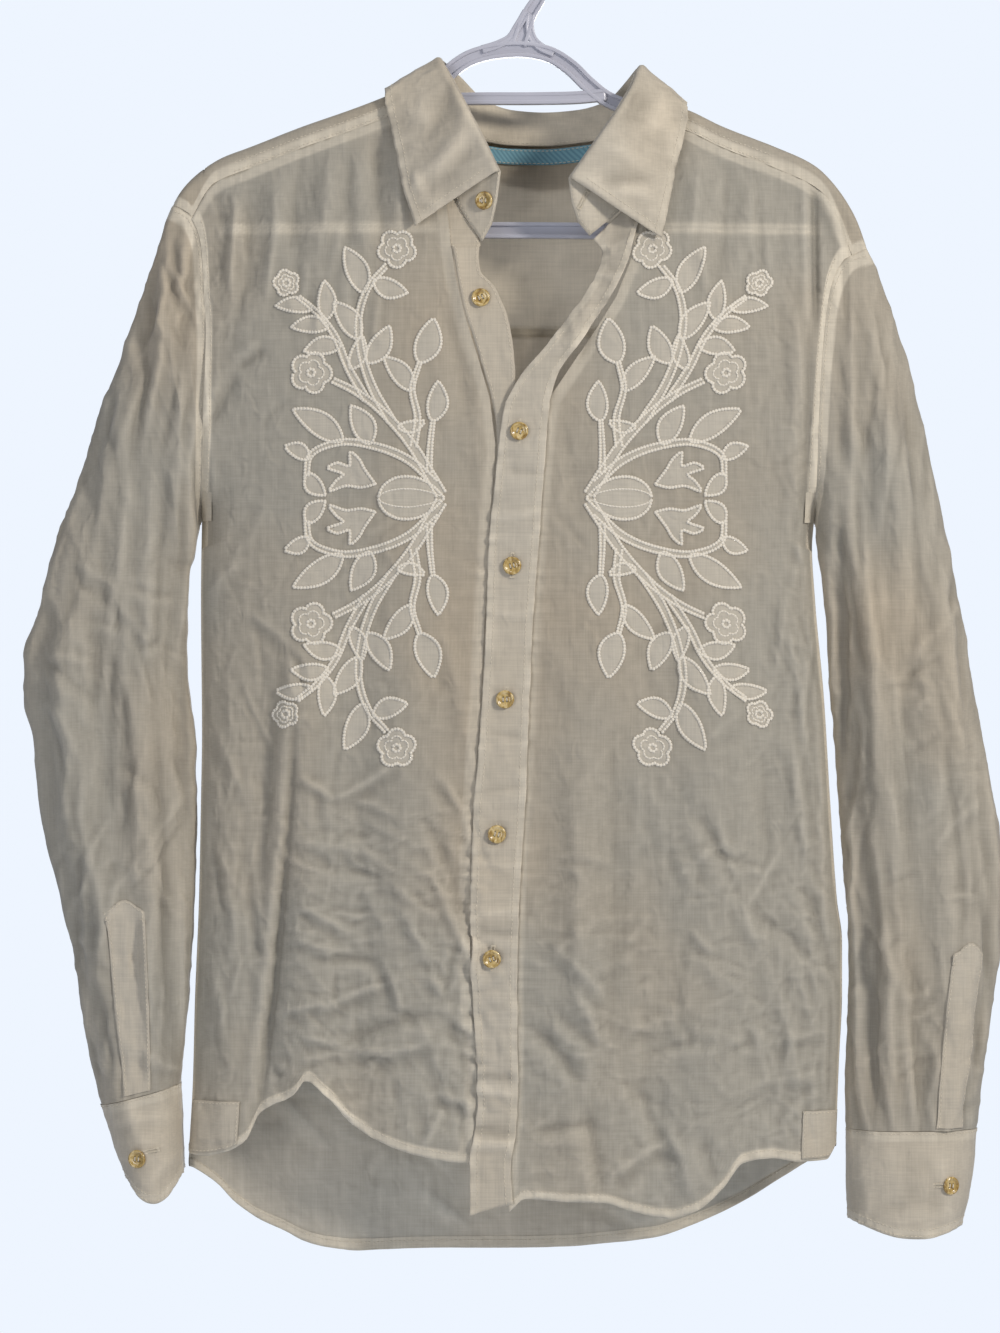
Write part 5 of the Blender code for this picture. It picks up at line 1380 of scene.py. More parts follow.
def on_shirt(x, z, turn, lift):
    w = step(-0.5, 0.5, turn)[:, None]
    return points(x, -front_form(x, z) - lift, z) * (1 - w) + points(x, back_form(x, z) + lift, z) * w


def collar_frames(fine):
    q = np.linspace(0, len(COLLAR) - 1, fine)
    bx, bv, fx, fv, lx, lv, fy, turn = (c(q) for c in table_curves(COLLAR))
    base = on_shirt(px(bx), pz(bv), turn, 0.4)
    fold = points(px(fx), fy, pz(fv))
    leaf = on_shirt(px(lx), pz(lv), turn, 6.0)
    top = bell(turn / 0.45)
    leaf[:, 2] += np.maximum(pz(RIDGE(lx)) + 5.0 - leaf[:, 2], 0.0) * top
    return base, fold, leaf


COLLAR_FINE = 220


def make_stand():
    """The upright band of the collar, with a rounded end at each side of the neck."""
    base, fold, _ = collar_frames(COLLAR_FINE)
    low = base + unit(fold - base) * 0.5
    across = np.linspace(0, 1, 16)
    grid = low[:, None] + (fold - low)[:, None] * across[None, :, None]
    bulge = 1 - np.abs(2 * across - 1) ** 3
    for end, following in ((0, 1), (-1, -2)):
        reach = 5.0 * np.interp(across, [0, 0.33, 0.67, 1], [0.15, 1, 0.9, 0])
        for i in range(6):
            k = end + i if end == 0 else end - i
            way = unit(grid[end] - grid[following + (5 if end == 0 else -5)])
            grid[k] = grid[k] + way * (reach * (1 - i / 6.0) ** 2)[:, None]
    normals = normals_of(grid)
    centre = np.array([float(px(540)), 0, float(pz(130))])
    normals = facing(normals, COLLAR_FINE // 2, 8, grid[COLLAR_FINE // 2, 8] - centre)
    run = run_along(fold)[:, None]
    h = 1.2 * (lattice(run / 9.0, across[None, :] * 3, 121) - 0.5) + 0.9 * puckers(
        np.broadcast_to(run, grid.shape[:2]), distance_to(grid, "first_col"), 122, 5.0)
    grid = grid + normals * (h * bulge[None, :])[..., None]
    plied("collar_stand_voile", "collar_stand", grid, normals, 1.3, tone=0.55, hollow=-0.8 * h,
          layers=np.full(grid.shape[:2], 0.35))
    topstitch(grid[6:-6], normals[6:-6], ("first_col", 1.6))
    inner, ways = edge_line(grid[6:-6], normals[6:-6], "first_col", 1.6)
    SEWING.run(inner - ways * 1.3, -ways, **STITCH)
    topstitch(grid, normals, ("first_row", 1.8), ("last_row", 1.8))
    return grid, normals


FOLD_OVER = [(0.0, 0.0), (1.6, 0.35), (2.6, 1.3), (3.2, 2.6), (3.1, 4.2), (2.8, 6.0)]
LEAF_CREASES = {
    "r": [(452, 80, 424, 150, -1.3, 6, 2), (470, 120, 430, 180, 1.3, 6, 3), (476, 150, 424, 200, -1.2, 5, 2),
          (412, 178, 424, 190, 1.4, 3, 0), (412, 190, 430, 198, 1.2, 3, 0), (414, 204, 438, 208, 1.2, 3, 0),
          (455, 92, 480, 140, 0.9, 6, 1), (400, 110, 436, 128, 0.8, 6, 1)],
    "l": [(640, 90, 622, 130, -1.5, 6, 1), (662, 90, 650, 140, 1.4, 6, 1), (600, 190, 654, 184, -1.5, 4, 2),
          (612, 196, 650, 204, 1.0, 4, 1), (580, 180, 604, 200, 1.0, 4, 1), (668, 130, 672, 170, 0.8, 4, 0),
          (604, 150, 640, 172, 0.7, 5, 2)],
}


def make_leaf():
    """The turned-down leaf, from the fold over the stand to its pointed ends."""
    base, fold, leaf = collar_frames(COLLAR_FINE)
    along = unit(np.gradient(fold, axis=0))
    away = leaf - fold
    flat = unit(away - along * (away * along).sum(1, keepdims=True))
    rise = unit(np.cross(along, flat))
    rise = rise * np.sign((rise * (fold - base)).sum(1, keepdims=True))
    start = fold + rise * (SEAM + 0.5)
    cols = [start + rise * up + flat * over for up, over in FOLD_OVER]
    last = cols[-1]
    for t in np.linspace(0, 1, 24)[1:]:
        cols.append(last + (leaf - last) * t + flat * 2.5 * math.sin(t * math.pi))
    grid = np.stack(cols, 1)
    normals = facing(normals_of(grid), COLLAR_FINE // 2, 12, (0, 1, 0))
    x, z = grid[..., 0], grid[..., 2]
    front_half = (grid[..., 1] < 4).astype(float)
    h = (creases(LEAF_CREASES["r"], x, z) + creases(LEAF_CREASES["l"], x, z)) * front_half
    inset = distance_to(grid, "last_col")
    run = run_along(leaf)[:, None]
    h = h + 0.8 * (crumple(x, z + grid[..., 1], 131, 15, 13) - 0.5)
    h = 1.3 * h + 1.6 * puckers(np.broadcast_to(run, x.shape), inset, 133, 7.0)
    ease = step(2, 12, distance_to(grid, "first_col"))
    grid = grid + normals * (h * ease)[..., None]
    normals = facing(normals_of(grid), COLLAR_FINE // 2, 12, (0, 1, 0))
    layers = 0.35 * np.maximum.reduce([strip(inset, 6.5), strip(distance_to(grid, "first_row"), 6.5),
                                       strip(distance_to(grid, "last_row"), 6.5)])
    plied("collar_leaf_voile", "collar_leaf", grid, normals, 1.0, layers=layers, tone=0.5, hollow=-0.6 * h)
    topstitch(grid, normals, ("last_col", 5.4))
    topstitch(grid[:, 6:-3], normals[:, 6:-3], ("first_row", 5.4), ("last_row", 5.4))


# Bands down the front.
FASTENED = [(519, 434), (512, 567), (505, 699), (497, 832), (492, 955)]
BAND_CREASES = [(470, 926, 520, 932, -1.4, 3.5, 0), (472, 912, 520, 908, 0.9, 3, 0),
                (474, 1068, 522, 1076, -1.6, 3.5, 0), (474, 1084, 518, 1090, 1.0, 3, 0),
                (470, 1122, 518, 1130, -1.8, 4, 0), (472, 1140, 516, 1136, 1.1, 3, 0),
                (478, 860, 522, 866, 0.8, 3, 0), (484, 730, 530, 738, -0.8, 3, 0),
                (488, 612, 536, 618, 0.7, 3, 0), (500, 470, 540, 476, -0.8, 3, 0),
                (494, 520, 540, 514, 0.7, 3, 0), (480, 790, 524, 784, -0.7, 3, 0)]


def make_top_band():
    """The buttonhole band: down the front on top, and up the turned back neck edge."""
    across = np.concatenate([[0, 0.03], np.linspace(0.06, 0.94, 17), [0.97, 1]])
    rows = []
    for v in np.linspace(1196, 405, 270):
        a, b = px(BAND_LEFT(v)), px(BAND_RIGHT(v))
        x = a + (b - a) * across
        z = pz(v) - 8.0 * (1 - across) * step(1160, 1196, v)
        rows.append(on_front(x, z, BAND_LIFT)[0])
    upper = [(378, 521, 557, 0, 0), (350, 545, 576, 3, 0), (322, 566, 595, 6, 0),
             (296, 586, 612, 7, 0), (272, 598, 626, 8, 4), (256, 601, 636, 8, 17),
             (243, 593, 652, 8, 40)]
    lower = [(405, 505.6, 548.7, 0, 0)] + upper
    c = [curve([(i, r[n]) for i, r in enumerate(lower)]) for n in range(5)]
    for q in np.linspace(0, 7, 84)[1:]:
        v, ax, bx, push, climb = (float(f(q)) for f in c)
        x = px(ax) + (px(bx) - px(ax)) * across
        z = pz(v) + climb * across
        y = -front_depth(x, z) + push * (1 - across) ** 1.3 - BAND_LIFT - 1.2 * min(q, 1.0)
        rows.append(points(x, y, z))
    grid = np.array(rows)
    normals = facing(normals_of(grid), 100, 10, (0, -1, 0))
    x, z = grid[..., 0], grid[..., 2]
    left, right = distance_to(grid, "first_col"), distance_to(grid, "last_col")
    edge = np.minimum(left, right)
    h = creases(BAND_CREASES, x, z) + 0.35 * (crumple(x, z, 141, 14, 7) - 0.5)
    h = h + 1.5 * puckers(z, left, 142, 5.0) + 1.5 * puckers(z, right, 143, 5.0)
    neck = step(380, 330, level(z))
    h = h + neck * 1.6 * (crumple(x, z, 144, 9, 12) - 0.5)
    grid = grid + normals * (h + 0.25 * strip(edge, 5.2, 1.0))[..., None]
    normals = facing(normals_of(grid), 100, 10, (0, -1, 0))
    plied("placket_left_voile", "placket_left", grid, normals, 0.8, layers=0.45 * strip(edge, 5.4),
          tone=0.5, hollow=-0.8 * h)
    topstitch(grid[:300], normals[:300], ("first_col", 4.6), ("last_col", 4.6))
    topstitch(grid[300:], normals[300:], ("last_col", 4.6))
    return grid, normals


# The button band's top, from the front's neck edge to the foot of the stand.
NECK_EDGE = curve([(190, 441), (208, 446), (234, 450), (250, 452)])
STAND_FOOT = curve([(190, 452), (216, 464), (240, 479), (250, 481)])


def make_under_band():
    """The button band: under the other one, and open at the neck."""
    across = np.linspace(0, 1, 15)
    rows = []
    for v in np.concatenate([np.linspace(1154, 405, 160), np.linspace(403, 190, 98)]):
        a = np.minimum(BAND_LEFT(v) + 0.6, BUTTON_BAND_SEAM(v) + 0.3)
        if v < 250:
            a, b = NECK_EDGE(v) - 3.0, STAND_FOOT(v)
            rows.append(on_front(px(a + (b - a) * across), np.full(15, float(pz(v))), -0.8)[0])
            continue
        b = OPEN_EDGE(v) if v < 401 else BAND_RIGHT(v) - 8.0
        b = b * (1 - step(404, 440, v)) + (BAND_RIGHT(v) - 8.0) * step(404, 440, v) if v > 401 else b
        x = px(a) + (px(b) - px(a)) * across
        z = np.full(15, float(pz(v)))
        lift = -0.8 * step(300, 400, v)
        wave = 1.3 * (lattice(z / 11.0, across * 2, 151) - 0.5) * step(400, 370, v) * across
        rows.append(on_front(x, z, lift)[0] + points(0 * x, -wave, 0 * x))
    grid = np.array(rows)
    normals = facing(normals_of(grid), 80, 7, (0, -1, 0))
    plied("placket_right_voile", "placket_right", grid, normals, 0.6, tone=0.7)
    topstitch(grid[160:], normals[160:], ("first_col", 2.0), ("last_col", 2.0))


def make_tape():
    rows = []
    u = np.linspace(484, 604, 70)
    for drop in np.linspace(-0.5, 10.0, 9):
        x, z = px(u), pz(NECK_BACK(u)) - drop
        p, n = surface_at(back_form, 1, x, z)
        rows.append(p - n * 2.3)
    grid = np.array(rows)
    normals = facing(normals_of(grid), 4, 30, (0, -1, 0))
    obj = plied("neck_tape_twill", None, grid, normals, 0.6, material=TAPE)
    dressed(obj, "neck_tape")
    topstitch(grid, normals, ("first_row", 1.1), ("last_row", 1.1))


def make_gusset(side, name):
    out = OUT[side]
    width = 50.0 if side == "r" else 37.0
    low, high = (1144, 1098) if side == "r" else (1149, 1108)
    rows = []
    share = np.linspace(0.06, 1.0, 26)
    for v in np.linspace(low, high, 22):
        x = px(EDGE[side](v) - out * width * share)
        bottom = HEM[side](units(x)) - 2.5
        z = pz(bottom + (v - low) / (high - low) * (high - bottom))
        rows.append(on_front(x, z, 1.2)[0])
    grid = np.array(rows)
    normals = facing(normals_of(grid), 10, 12, (0, -1, 0))
    plied(name + "_voile", name, grid, normals, 0.5, tone=0.3)
    topstitch(grid, normals, ("last_row", 1.5), ("last_col", 1.5), ("first_row", 1.5))


def make_sleeve_placket(side, name):
    """The pointed band beside the sleeve's opening."""
    first, last = (5, 7) if side == "r" else (3, 5)
    t = np.linspace(first / 24, last / 24, 22)
    k = np.linspace(14.0, CUFF_ROW, 80)
    grid, normals, levels = SLEEVE_GRIDS[side]
    rows = np.searchsorted(levels, k).clip(1, len(levels) - 1)
    cols = np.round(t * ROUND).astype(int)
    base, ways = grid[np.ix_(rows, cols)], normals[np.ix_(rows, cols)]
    soft = resample(base[::4, ::3], 80, 22)
    base = 0.5 * base + 0.5 * soft
    width = np.linspace(-1, 1, 22)[None, :]
    point = np.maximum(np.abs(width) - 0.15, 0) * 9.0 * step(12, 0, np.arange(80))[:, None]
    x, z = base[..., 0], base[..., 2]
    h = 0.9 + 0.5 * (crumple(x, z, 161, 9, 8) - 0.5)
    h = h + 0.5 * puckers(z, distance_to(base, "first_col"), 162, 4.0)
    out = base + ways * h[..., None]
    out[..., 2] -= point
    fresh = facing(normals_of(out), 40, 10, ways[40, 10])
    plied(name + "_voile", name, out, fresh, 0.4, tone=0.5)
    topstitch(out, fresh, ("first_col", 1.6), ("last_col", 1.6), ("first_row", 1.6))


# Buttons and buttonholes.
BUTTON_RADIUS = 6.0
HOLE_OFFSET = 1.25     # from the button's middle, each way


def axis_of(node):
    """Middle of the inner face and outward axis of a packed button."""
    co = np.array([v.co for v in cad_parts[node].data.vertices], float) / MM
    _, _, axes = np.linalg.svd(co - co.mean(0))
    n = axes[2] * (-1 if axes[2][1] > 0 else 1)
    spread = (co - co.mean(0)) @ n
    return co.mean(0) + n * spread.min(), n


def button_mesh():
    """A four-hole button: turned rim, dished middle, holes right through."""
    r = BUTTON_RADIUS
    profile = [(0.0, 0.15), (r * 0.7, 0.1), (r * 0.9, 0.3), (r * 0.985, 0.8), (r, 1.25), (r * 0.985, 1.7),
               (r * 0.93, 2.15), (r * 0.86, 2.35), (r * 0.78, 2.3), (r * 0.7, 1.95), (r * 0.62, 1.55),
               (r * 0.5, 1.4), (0.0, 1.38)]
    bm = bmesh.new()
    count = 56
    rings = []
    for radius, height in profile:
        if radius == 0.0:
            rings.append([bm.verts.new((0, 0, height))])
        else:
            rings.append([bm.verts.new((radius * math.cos(2 * math.pi * k / count),
                                        radius * math.sin(2 * math.pi * k / count), height))
                          for k in range(count)])
    for lower, upper in zip(rings, rings[1:]):
        for k in range(count):
            m = (k + 1) % count
            loop = [lower[0 if len(lower) == 1 else k], lower[0 if len(lower) == 1 else m],
                    upper[0 if len(upper) == 1 else m], upper[0 if len(upper) == 1 else k]]
            bm.faces.new(list(dict.fromkeys(loop)))
    bmesh.ops.recalc_face_normals(bm, faces=bm.faces)
    mesh = bpy.data.meshes.new("button_blank")
    bm.to_mesh(mesh)
    bm.free()
    blank = bpy.data.objects.new("button_blank", mesh)
    bpy.context.scene.collection.objects.link(blank)
    drill = bmesh.new()
    for sx in (-1, 1):
        for sy in (-1, 1):
            bmesh.ops.create_cone(drill, cap_ends=True, segments=14, radius1=0.62, radius2=0.62,
                                  depth=8.0,
                                  matrix=Matrix.Translation((sx * HOLE_OFFSET, sy * HOLE_OFFSET, 1)))
    holes_mesh = bpy.data.meshes.new("button_holes")
    drill.to_mesh(holes_mesh)
    drill.free()
    holes = bpy.data.objects.new("button_holes", holes_mesh)
    bpy.context.scene.collection.objects.link(holes)
    cut = blank.modifiers.new("holes", "BOOLEAN")
    cut.operation, cut.solver, cut.object = "DIFFERENCE", "EXACT", holes
    graph = bpy.context.evaluated_depsgraph_get()
    graph.update()
    result = bpy.data.meshes.new_from_object(blank.evaluated_get(graph))
    bpy.data.objects.remove(blank)
    bpy.data.objects.remove(holes)
    return result


def make_buttons():
    """A resin button in place of each packed one, with its crossing threads."""
    master = button_mesh()
    thread = Threads()
    spin = np.random.default_rng(171)
    for node in sorted(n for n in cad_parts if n.startswith("button_")):
        base, n = axis_of(node)
        a = unit(np.cross(n, [0, 0, 1.0]))
        turn = spin.uniform(-0.5, 0.5)
        b = np.cross(n, a)
        a, b = a * math.cos(turn) + b * math.sin(turn), b * math.cos(turn) - a * math.sin(turn)
        mesh = master.copy()
        mesh.name = node + "_resin"
        place = Matrix(((a[0], b[0], n[0], base[0]), (a[1], b[1], n[1], base[1]),
                        (a[2], b[2], n[2], base[2]), (0, 0, 0, 1)))
        mesh.transform(Matrix.Scale(MM, 4) @ place)
        mesh.shade_smooth()
        mesh.materials.clear()
        obj = link(node + "_resin", mesh, RESIN)
        dressed(obj, node)
        for sx in (-1, 1):
            for shift in (-0.2, 0.2):
                p = base + a * (sx * HOLE_OFFSET + shift) + n * 1.62
                thread.grain(p, b, n, 3.4, 0.42, 0.5, 6)
    return thread


def buttonhole(thread, middle, along, normal, length=13.0):
    """Close satin stitches round a slit."""
    across = unit(np.cross(normal, along))
    half = length / 2
    for side in (-1, 1):
        for s in np.arange(-half, half, 0.55):
            thread.grain(middle + along * s + across * side * 0.95 + normal * 0.18, across, normal,
                         1.5, 0.52, 0.5, 4)
    for end in (-1, 1):
        for s in np.arange(-1.4, 1.5, 0.5):
            thread.grain(middle + along * (half + 0.3) * end + across * s + normal * 0.2, along, normal,
                         1.6, 0.5, 0.5, 4)


def nearest(grid, normals, x, z):
    """The grid's point that is seen at a place, and the way out of it."""
    d = (grid[..., 0] - x) ** 2 + (grid[..., 2] - z) ** 2 + 4.0 * (normals[..., 1] > 0) * 1e3
    i, j = np.unravel_index(np.argmin(d), d.shape)
    return grid[i, j], normals[i, j]


# Embroidery: sprays of leaves and flowers, in chain stitch with darned filling. Places are mm
# out from the root by the band and mm up from it. One quarter is drawn and turned over twice.
ROOT = {"r": (445.0, 500.0), "l": (585.0, 500.0)}
STEMS = [
    # points, half width at the root, half width at the end
    ([(2, 2), (10, 16), (20, 33), (32, 48), (44, 60), (58, 70), (72, 77)], 3.4, 1.4),
    ([(34, 50), (46, 72), (53, 96), (54, 118), (47, 138), (35, 152)], 2.6, 1.2),
    ([(50, 64), (62, 86), (70, 106), (82, 122), (94, 132)], 2.2, 1.1),
    ([(20, 33), (17, 52), (20, 72), (15, 88)], 2.0, 1.0),
    ([(10, 16), (9, 34), (7, 50)], 1.6, 0.9),
    ([(6, 9), (22, 24), (46, 34), (70, 36), (88, 27), (90, 14)], 2.4, 1.2),
]
LEAVES = [
    # base out, base up, tip out, tip up, half width
    (15, 88, 5, 117, 8.0), (7, 50, 3, 76, 6.4), (20, 70, 38, 92, 6.2), (49, 88, 34, 112, 6.6),
    (54, 104, 70, 128, 6.8), (50, 134, 62, 164, 7.2), (44, 142, 22, 134, 6.2), (60, 84, 52, 106, 5.0),
    (66, 100, 90, 96, 5.6), (74, 112, 98, 112, 5.2), (76, 116, 76, 142, 5.6), (84, 124, 108, 126, 4.8),
    (48, 35, 60, 60, 7.4), (66, 37, 98, 58, 7.6), (90, 16, 78, 2, 5.4), (88, 26, 104, 34, 4.8),
    (30, 46, 12, 50, 3.6),
]
FLOWERS = [
    # middle out, middle up, radius, petals, turn in degrees
    (28, 163, 12.5, 5, 20), (86, 82, 13.5, 5, 75), (101, 141, 8.5, 5, 40),
]
TULIP = [(45, 9), (54, 7), (64, 8), (75, 5), (70, 12), (66, 15), (76, 20), (70, 23), (62, 21),
         (61, 30), (56, 26), (52, 19), (45, 9)]
POD = [(0, 0), (8, 8), (20, 13.5), (33, 12.5), (41, 6), (43, 0)]
CHAIN = dict(pitch=2.1, length=2.7, width=2.5, height=1.3, sides=6, lift=0.4)


def smooth_line(rows, pitch=1.2):
    """Evenly spaced points on a smooth line through a few."""
    rows = np.array(rows, float)
    run = run_along(rows)
    fine = np.append(np.arange(0, run[-1], pitch), run[-1])
    return np.stack([hermite(run, rows[:, n], np.gradient(rows[:, n], run), fine) for n in (0, 1)], -1)


def leaf_sides(row):
    bo, bu, to, tu, half = row
    t = np.linspace(0, 1, 26)
    base, tip = np.array([bo, bu], float), np.array([to, tu], float)
    axis = tip - base
    side = np.array([-axis[1], axis[0]]) / np.hypot(*axis)
    swell = half * np.sin(math.pi * t**0.86) ** 0.8
    bend = 1.6 * np.sin(math.pi * t)
    spine = base + axis * t[:, None] + side * bend[:, None]
    return spine + side * swell[:, None], spine - side * swell[:, None]


def flower_outline(row):
    o, up, radius, petals, turn = row
    a = np.linspace(0, 2 * math.pi, 90)
    r = radius * (0.74 + 0.26 * np.abs(np.sin(petals / 2 * (a - math.radians(turn)))) ** 0.7)
    return np.stack([o + r * np.cos(a), up + r * np.sin(a)], -1)


def make_embroidery(side, name):
    """One front's sprays: chain stitch outlines over darned filling."""
    out = OUT[side]
    chain = Threads()
    patches = []
    lean = 15.0 if side == "l" else 3.0

    def place(line, flip):
        """Local out and up, in mm, to x and z on the front. Far ends lean out past the open neck."""
        spread = lean * (np.abs(line[..., 1]) / 160.0) ** 1.5
        return (px(ROOT[side][0]) + out * (line[..., 0] + spread),
                pz(ROOT[side][1]) + (line[..., 1] if flip > 0 else -line[..., 1]))

    def sew(line, flip, **other):
        x, z = place(line, flip)
        p, n = on_front(x, z, 0.1)
        chain.run(p, n, **{**CHAIN, **other})

    def fill(low, high, flip, across=5):
        t = np.linspace(0, 1, across)[None, :, None]
        area = low[:, None] * (1 - t) + high[:, None] * t
        x, z = place(area, flip)
        crown = 0.45 * np.sin(math.pi * np.linspace(0.06, 0.94, across))[None, :, None]
        p, n = on_front(x, z, 0.12)
        patches.append(p + n * crown)

    for flip in (1, -1):
        for rows, wide, narrow in STEMS:
            line = smooth_line(rows)
            way = np.gradient(line, axis=0)
            side_way = np.stack([-way[:, 1], way[:, 0]], -1) / np.maximum(long(way), 1e-6)
            half = np.linspace(wide, narrow, len(line))[:, None]
            for s in (-1, 1):
                sew(line + side_way * half * s, flip)
            fill(line - side_way * half, line + side_way * half, flip, 3)
        for row in LEAVES:
            low, high = leaf_sides(row)
            sew(low, flip)
            sew(high, flip)
            fill(low, high, flip)
        for row in FLOWERS:
            ring_line = flower_outline(row)
            middle = np.array(row[:2], float)
            sew(ring_line, flip)
            sew(middle + (ring_line - middle) * 0.62, flip, width=1.4)
            eye = np.linspace(0, 2 * math.pi, 16)
            sew(middle + 2.4 * np.stack([np.cos(eye), np.sin(eye)], -1), flip)
            fill(np.repeat(middle[None], len(ring_line), 0), ring_line, flip, 4)
        bud = smooth_line(TULIP)
        sew(bud, flip)
        fill(np.repeat(np.array([[60.0, 15.0]]), len(bud), 0), bud, flip, 4)
        shell = smooth_line(POD)
        sew(shell, flip)
        fill(np.stack([shell[:, 0], shell[:, 1] * 0], -1), shell, flip, 5)
        sew(np.stack([shell[3:-3, 0], shell[3:-3, 1] * 0.42], -1), flip, width=1.3)
    filling = join_patches("embroidery_filling_" + name, patches, FILLING)
    added(filling)
    added(chain.piece("embroidery_chain_" + name, BRAID))


def join_patches(name, patches, material):
    """One mesh of many small grids, each facing the front."""
    verts, faces = [], []
    for grid in patches:
        faces += grid_quads(*grid.shape[:2], start=len(verts))
        verts += (grid.reshape(-1, 3) * MM).tolist()
    mesh = bpy.data.meshes.new(name)
    mesh.from_pydata(verts, [], faces)
    bm = bmesh.new()
    bm.from_mesh(mesh)
    bmesh.ops.remove_doubles(bm, verts=bm.verts, dist=1e-6)
    for face in bm.faces:
        if face.normal.y > 0:
            face.normal_flip()
    bm.to_mesh(mesh)
    bm.free()
    mesh.shade_smooth()
    return link(name, mesh, material)


# Hanger.
def rounded_section(height, depth, rim, web, soft=0.7):
    """An I section with softened corners, as (across, deep) pairs."""
    h, d, w = height / 2, depth / 2, web / 2
    corners = [(h, -d), (h, d), (h - rim, d), (h - rim, w), (-h + rim, w), (-h + rim, d), (-h, d),
               (-h, -d), (-h + rim, -d), (-h + rim, -w), (h - rim, -w), (h - rim, -d)]
    out = []
    for i, c in enumerate(corners):
        before, after = np.array(corners[i - 1]), np.array(corners[(i + 1) % 12])
        c = np.array(c)
        a = c + (before - c) * min(soft / np.hypot(*(before - c)), 0.45)
        b = c + (after - c) * min(soft / np.hypot(*(after - c)), 0.45)
        for t in (0.0, 0.33, 0.67, 1.0):
            out.append(a * (1 - t) ** 2 + c * 2 * t * (1 - t) + b * t**2)
    return np.array(out)


def swept(path, profile, pitch=2.5, taper=None):
    line = smooth_line(path, pitch)
    way = np.gradient(line, axis=0)
    way = way / np.maximum(long(way), 1e-6)
    across = np.stack([-way[:, 1], way[:, 0]], -1)
    size = np.ones(len(line)) if taper is None else taper(np.linspace(0, 1, len(line)))
    rows = []
    for p, a, s in zip(line, across, size):
        rows.append([(p[0] + a[0] * q[0] * s, q[1] * s, p[1] + a[1] * q[0] * s) for q in profile])
    return np.array(rows)


def make_hanger():
    """One moulding: arms and arch, trouser bar, upper bar, strut, hook and its two flared roots."""
    verts, faces = [], []

    def tube(grid):
        start = len(verts)
        rows, cols = grid.shape[:2]
        verts.extend((grid.reshape(-1, 3) * MM).tolist())
        faces.extend(grid_quads(rows, cols, start, closed=True))
        faces.append(tuple(range(start, start + cols))[::-1])
        faces.append(tuple(range(start + (rows - 1) * cols, start + rows * cols)))

    left = [(u, RIDGE(u) + 12.6) for u in (218, 232, 256, 299, 350, 384)] + [(402, RIDGE(402) + 14.5)]
    arch = [(422, 97), (438, 85), (452, 70), (467, 59.5), (488, 52.5), (506, 50), (521, 49.5), (535, 51),
            (549, 54.5), (571, 68), (588, 84.5), (605, 98), (628, 108), (650, 115)]
    right = [(670, RIDGE(670) + 14.5)] + [(u, RIDGE(u) + 12.6) for u in (690, 721, 775, 798, 811)]
    place = lambda rows: [(float(px(u)), float(pz(v))) for u, v in rows]
    tube(swept(place(left + arch + right), rounded_section(10.2, 6.6, 2.6, 2.6)))
    tube(swept(place([(221, 174), (214, 200), (219, 221), (236, 230), (270, 231), (510, 230.5),
                      (765, 231), (796, 230), (812, 220), (815, 202), (808, 182)]),
               rounded_section(10.6, 7.2, 2.6, 2.8)))
    tube(swept(place([(444, 99.5), (480, 98.8), (540, 98.6), (580, 97.5), (606, 95)]),
               rounded_section(8.0, 6.2, 2.4, 5.6)))
    tube(swept(place([(448, 74), (444, 88), (446, 101)]), rounded_section(6.0, 7.4, 1.8, 2.8)))
    hook = place([(519, 45.5), (521, 38), (524, 28), (530, 13), (538, 0)]) + [(13.8, -38.8)]
    hook += [(22.0 * math.cos(math.radians(a)), -19.1 + 22.0 * math.sin(math.radians(a)))
             for a in range(-28, 226, 12)]
    thinner = lambda t: (1.0 - 0.3 * step(0.02, 0.4, t)) * (1 - 0.5 * step(0.985, 1.0, t))
    tube(swept(hook, rounded_section(10.4, 6.5, 2.6, 2.6), 1.5, thinner))
    # The arch runs up into the hook on both sides.
    for side_run in ([(482, 50), (499, 44.5), (510, 38.5), (517, 28), (526.5, 12)],
                     [(554, 53.5), (541, 47.5), (533.5, 40.5), (530, 31), (530.5, 15)]):
        tube(swept(place(side_run), rounded_section(5.6, 6.3, 1.6, 5.6), 1.0))
    mesh = bpy.data.meshes.new("hanger_plastic")
    mesh.from_pydata(verts, [], faces)
    mesh.shade_smooth()
    obj = link("hanger_plastic", mesh, PLASTIC)
    dressed(obj, "hanger")


# Everything, from the bottom layer out.
SIDES = (("r", "right"), ("l", "left"))
for side, word in SIDES:
    make_front(side, "front_" + word)
make_back()
make_yoke()
for side, word in SIDES:
    make_sleeve(side, "sleeve_" + word)
    make_cuff(side, "cuff_" + word)
    make_sleeve_placket(side, "sleeve_placket_" + word)
    make_gusset(side, "gusset_" + word)
stand_grid, stand_normals = make_stand()
make_leaf()
band_grid, band_normals = make_top_band()
make_under_band()
make_tape()
make_hanger()
for side, word in SIDES:
    make_embroidery(side, word)

fastening = make_buttons()
for u, v in FASTENED:
    p, n = nearest(band_grid, band_normals, px(u), pz(v))
    buttonhole(fastening, p, np.array([0.03, 0, 1.0]), n, 15.0)
for (u, v), side, lean in (((152, 1146), "r", (1.0, 0, 0.25)), ((932, 1180), "l", (1.0, 0, 0.0))):
    p, n = nearest(*CUFF_GRIDS[side], px(u), pz(v))
    buttonhole(fastening, p, unit(np.array(lean)), n, 13.0)
p, n = nearest(stand_grid, stand_normals, px(580), pz(208))
buttonhole(fastening, p, unit(np.array([0.45, 0, 0.9])), n, 12.0)
added(fastening.piece("button_thread", THREAD))
added(SEWING.piece("sewing", THREAD))

